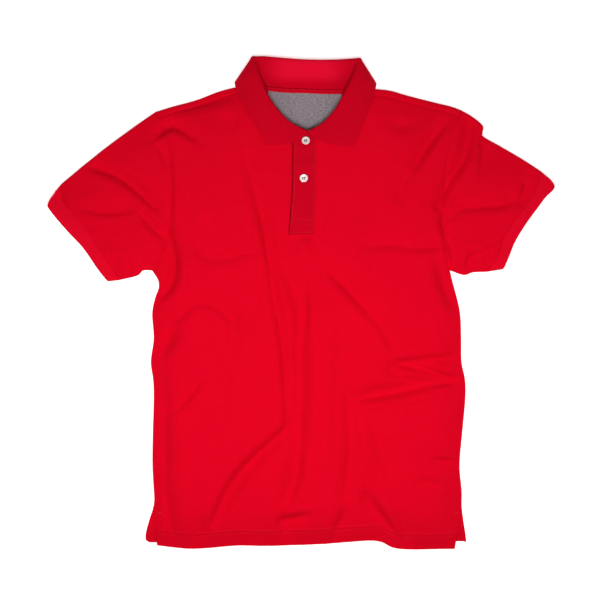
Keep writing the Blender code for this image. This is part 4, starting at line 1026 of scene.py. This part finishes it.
def collar_profile(station, near_end):
    """Points across the collar at one station, sewn edge to free edge."""
    seam_x, seam_y, roll_x, roll_y, edge_x, edge_y = station[:6] / 1000
    side, turn = station[6:8]
    radius, top, bow = station[[8, 10, 11]] / 1000
    front = min(max(station[9], 0), 1)
    turn = math.radians(min(max(turn, -90), 90))
    side = 1 if side > 0 else -1
    low = NECK_LIFT + FLOOR_GAP + 0.5 * PIQUE
    seam_front = top_at(seam_x, seam_y) + SEAM_LIFTED * near_end
    seam_z = low + (seam_front - low) * front
    lift = 0.0002 + 0.0016 * abs(noise.noise(Vector((edge_x * 28, edge_y * 28, 2.0))))
    lift += LEAF_LIFTED * (side < 0)
    edge_front = top_at(edge_x, edge_y) + 0.5 * RIB + lift
    edge_z = 0.5 * RIB + FLOOR_GAP + (edge_front - 0.5 * RIB - FLOOR_GAP) * front
    seam = np.array([seam_x, seam_y, seam_z])
    roll = np.array([roll_x, roll_y, top])
    edge = np.array([edge_x, edge_y, edge_z])
    up = np.array([roll_x - seam_x, roll_y - seam_y, 0])
    up /= lengths(up)
    outward = np.array([side * math.cos(turn), 0, math.sin(turn)])
    centre = roll - up * radius
    start = centre - outward * radius
    end = centre + outward * radius
    points = [seam + (start - seam) * share for share in np.linspace(0, 1, 9)[:-1]]
    for bend in np.radians(np.linspace(-90, 90, 9)):
        points.append(centre + up * radius * math.cos(bend) + outward * radius * math.sin(bend))
    for share in np.linspace(0, 1, 19)[1:]:
        crown = LEAF_CROWN * math.sin(math.pi * share) * front
        sink = (end[2] - edge[2]) * (share - min(1, share * 2)) * ease(1 - 2 * front)
        sag = -max(bow, 0) * math.sin(math.pi * share**0.75)
        points.append(end + (edge - end) * share + np.array([0, sag, crown + sink]))
    return points


station_rows = np.array(COLLAR_STATIONS, float)
station_steps = np.arange(len(station_rows), dtype=float)
fine_columns = [soft_line(np.stack([station_steps, column], 1), 8)[:, 1] for column in station_rows.T]
fine_stations = np.stack(fine_columns, 1)
collar_points = []
for k, station in enumerate(fine_stations):
    from_end = min(k, len(fine_stations) - 1 - k) / 8
    collar_points.append(collar_profile(station, float(ease(1.6 - from_end))))
collar_shell = cloth("collar_shell", np.array(collar_points), RIB, rib_red, centred=True, angle=70)
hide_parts("collar")
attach(collar_shell, "root")

# Buttons: two turned shirt buttons with a raised rim and four holes, in an ivory resin. Each is sewn
# to the under strip with red thread through its holes, and has come through its buttonhole.

Button = namedtuple("Button", "node place tilt across")
BUTTONS = (
    Button("upper_button", BUTTON_PLACES[0], -5, 1),
    Button("lower_button", BUTTON_PLACES[1], 2, -2),
)
BUTTON_THICKNESS = 0.0026
BUTTON_MIDDLE = 0.0017  # above the strip that it is buttoned through
HOLE_SPACING = 0.0029
STRAND = 0.0003
STRAND_STEP = 0.0005

ivory_resin, tree, shader, where = new_material("ivory_resin")
veins = noise_of(tree, where["Object"], 240, 3)
looks = {
    "Base Color": mixed(tree, veins, (0.74, 0.66, 0.65, 1), (0.90, 0.86, 0.84, 1)),
    "Roughness": maths(tree, "MULTIPLY_ADD", veins, 0.10, 0.22),
    "Coat Weight": 0.25,
    "Coat Roughness": 0.15,
}
feed(tree, shader, looks)

# Painted shade: the thread in the button's holes is the sewing thread painted much darker, for the shade in
# the holes.
button_thread_painted_shade = sewing_thread.copy()
button_thread_painted_shade.name = "button_thread_painted_shade"
shade = next(n for n in button_thread_painted_shade.node_tree.nodes if n.bl_idname == "ShaderNodeMix")
feed(button_thread_painted_shade.node_tree, shade, {6: (0.10, 0.004, 0.008, 1), 7: (0.22, 0.008, 0.014, 1)})

for button in BUTTONS:
    x, y = pixel_place(*button.place)
    low, high = (Vector(corner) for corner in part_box(button.node))
    lie = Matrix.Rotation(math.radians(button.across), 4, "Y")
    lie = lie @ Matrix.Rotation(math.radians(button.tilt), 4, "X")
    place = Vector((x, y, top_at(x, y) + PIQUE + GAP + BUTTON_MIDDLE))
    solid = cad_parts[button.node]
    disc = new_piece(button.node + "_turned", solid.data.copy())
    whole = bmesh.new()
    whole.from_mesh(disc.data)
    bmesh.ops.remove_doubles(whole, verts=whole.verts, dist=0.00001)
    bmesh.ops.transform(whole, matrix=solid.matrix_world, verts=whole.verts)
    bmesh.ops.transform(whole, matrix=Matrix.Translation(-(low + high) / 2), verts=whole.verts)
    bmesh.ops.transform(whole, matrix=Matrix.Translation(place) @ lie, verts=whole.verts)
    whole.to_mesh(disc.data)
    whole.free()
    bpy.ops.object.shade_smooth_by_angle(angle=math.radians(35))
    disc.data.materials.clear()
    disc.data.materials.append(ivory_resin)
    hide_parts(button.node)
    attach(disc, "root")

    bars = []
    for shift in (-0.5 * HOLE_SPACING, 0.5 * HOLE_SPACING):
        for strand in (-STRAND_STEP, 0.0, STRAND_STEP):
            bpy.ops.mesh.primitive_cylinder_add(vertices=10, radius=STRAND, depth=HOLE_SPACING * 1.1)
            bar = bpy.context.object
            across_bar = Matrix.Rotation(math.radians(90), 4, "X")
            spot = Matrix.Translation((shift + strand, 0, 0.5 * BUTTON_THICKNESS - 0.0002))
            bar.data.transform(Matrix.Translation(place) @ lie @ spot @ across_bar)
            bars.append(bar)
    for bar in bars:
        bar.select_set(True)
    bpy.ops.object.join()
    thread = bpy.context.object
    thread.name = button.node + "_thread"
    bpy.ops.object.shade_smooth()
    thread.data.materials.append(button_thread_painted_shade)
    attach(thread, "root")

# Floor, light and camera: a pale studio floor that glows a little, a soft box overhead and two
# weaker ones on the shirt's left and right, and a camera straight above.

bpy.ops.mesh.primitive_plane_add(size=8, location=(0, 0, -0.0002))
floor = bpy.context.object
floor.name = "studio_floor"
floor_white, tree, shader, where = new_material("floor_white")
looks = {
    "Base Color": (0.92, 0.92, 0.92, 1),
    "Roughness": 0.9,
    "Specular IOR Level": 0.1,
    "Emission Color": (1, 1, 1, 1),
    "Emission Strength": 0.55,
}
feed(tree, shader, looks)
floor.data.materials.append(floor_white)

world = bpy.data.worlds.new("studio")
bpy.context.scene.world = world
world.use_nodes = True
feed(world.node_tree, world.node_tree.nodes["Background"], {0: (1, 1, 1, 1), 1: 0.08})


def soft_box(name, place, target, size, power):
    lamp = bpy.data.lights.new(name, "AREA")
    lamp.energy = power
    lamp.shape = "RECTANGLE"
    lamp.size = size[0]
    lamp.size_y = size[1]
    holder = bpy.data.objects.new(name, lamp)
    holder.location = place
    way = Vector(target) - Vector(place)
    holder.rotation_euler = way.to_track_quat("-Z", "Y").to_euler()
    holder.visible_camera = False
    bpy.context.scene.collection.objects.link(holder)


soft_box("overhead_box", (0.0, -0.14, 1.0), (0, -0.14, 0), (0.5, 0.5), 10.0)
soft_box("right_box", (1.2, 0.05, 0.85), (0.1, -0.02, 0), (0.6, 0.7), 4.0)
soft_box("left_box", (-1.2, 0.0, 0.85), (-0.1, -0.02, 0), (0.6, 0.7), 4.0)

camera_data = bpy.data.cameras.new("camera")
camera_data.sensor_width = 36
camera_data.sensor_fit = "AUTO"
camera_data.lens = 85
camera = bpy.data.objects.new("camera", camera_data)
camera.location = (-0.0024, -0.0004, 2.24)
camera.rotation_euler = (0, 0, 0)
bpy.context.scene.collection.objects.link(camera)
bpy.context.scene.camera = camera
bpy.context.scene.view_settings.view_transform = "Standard"
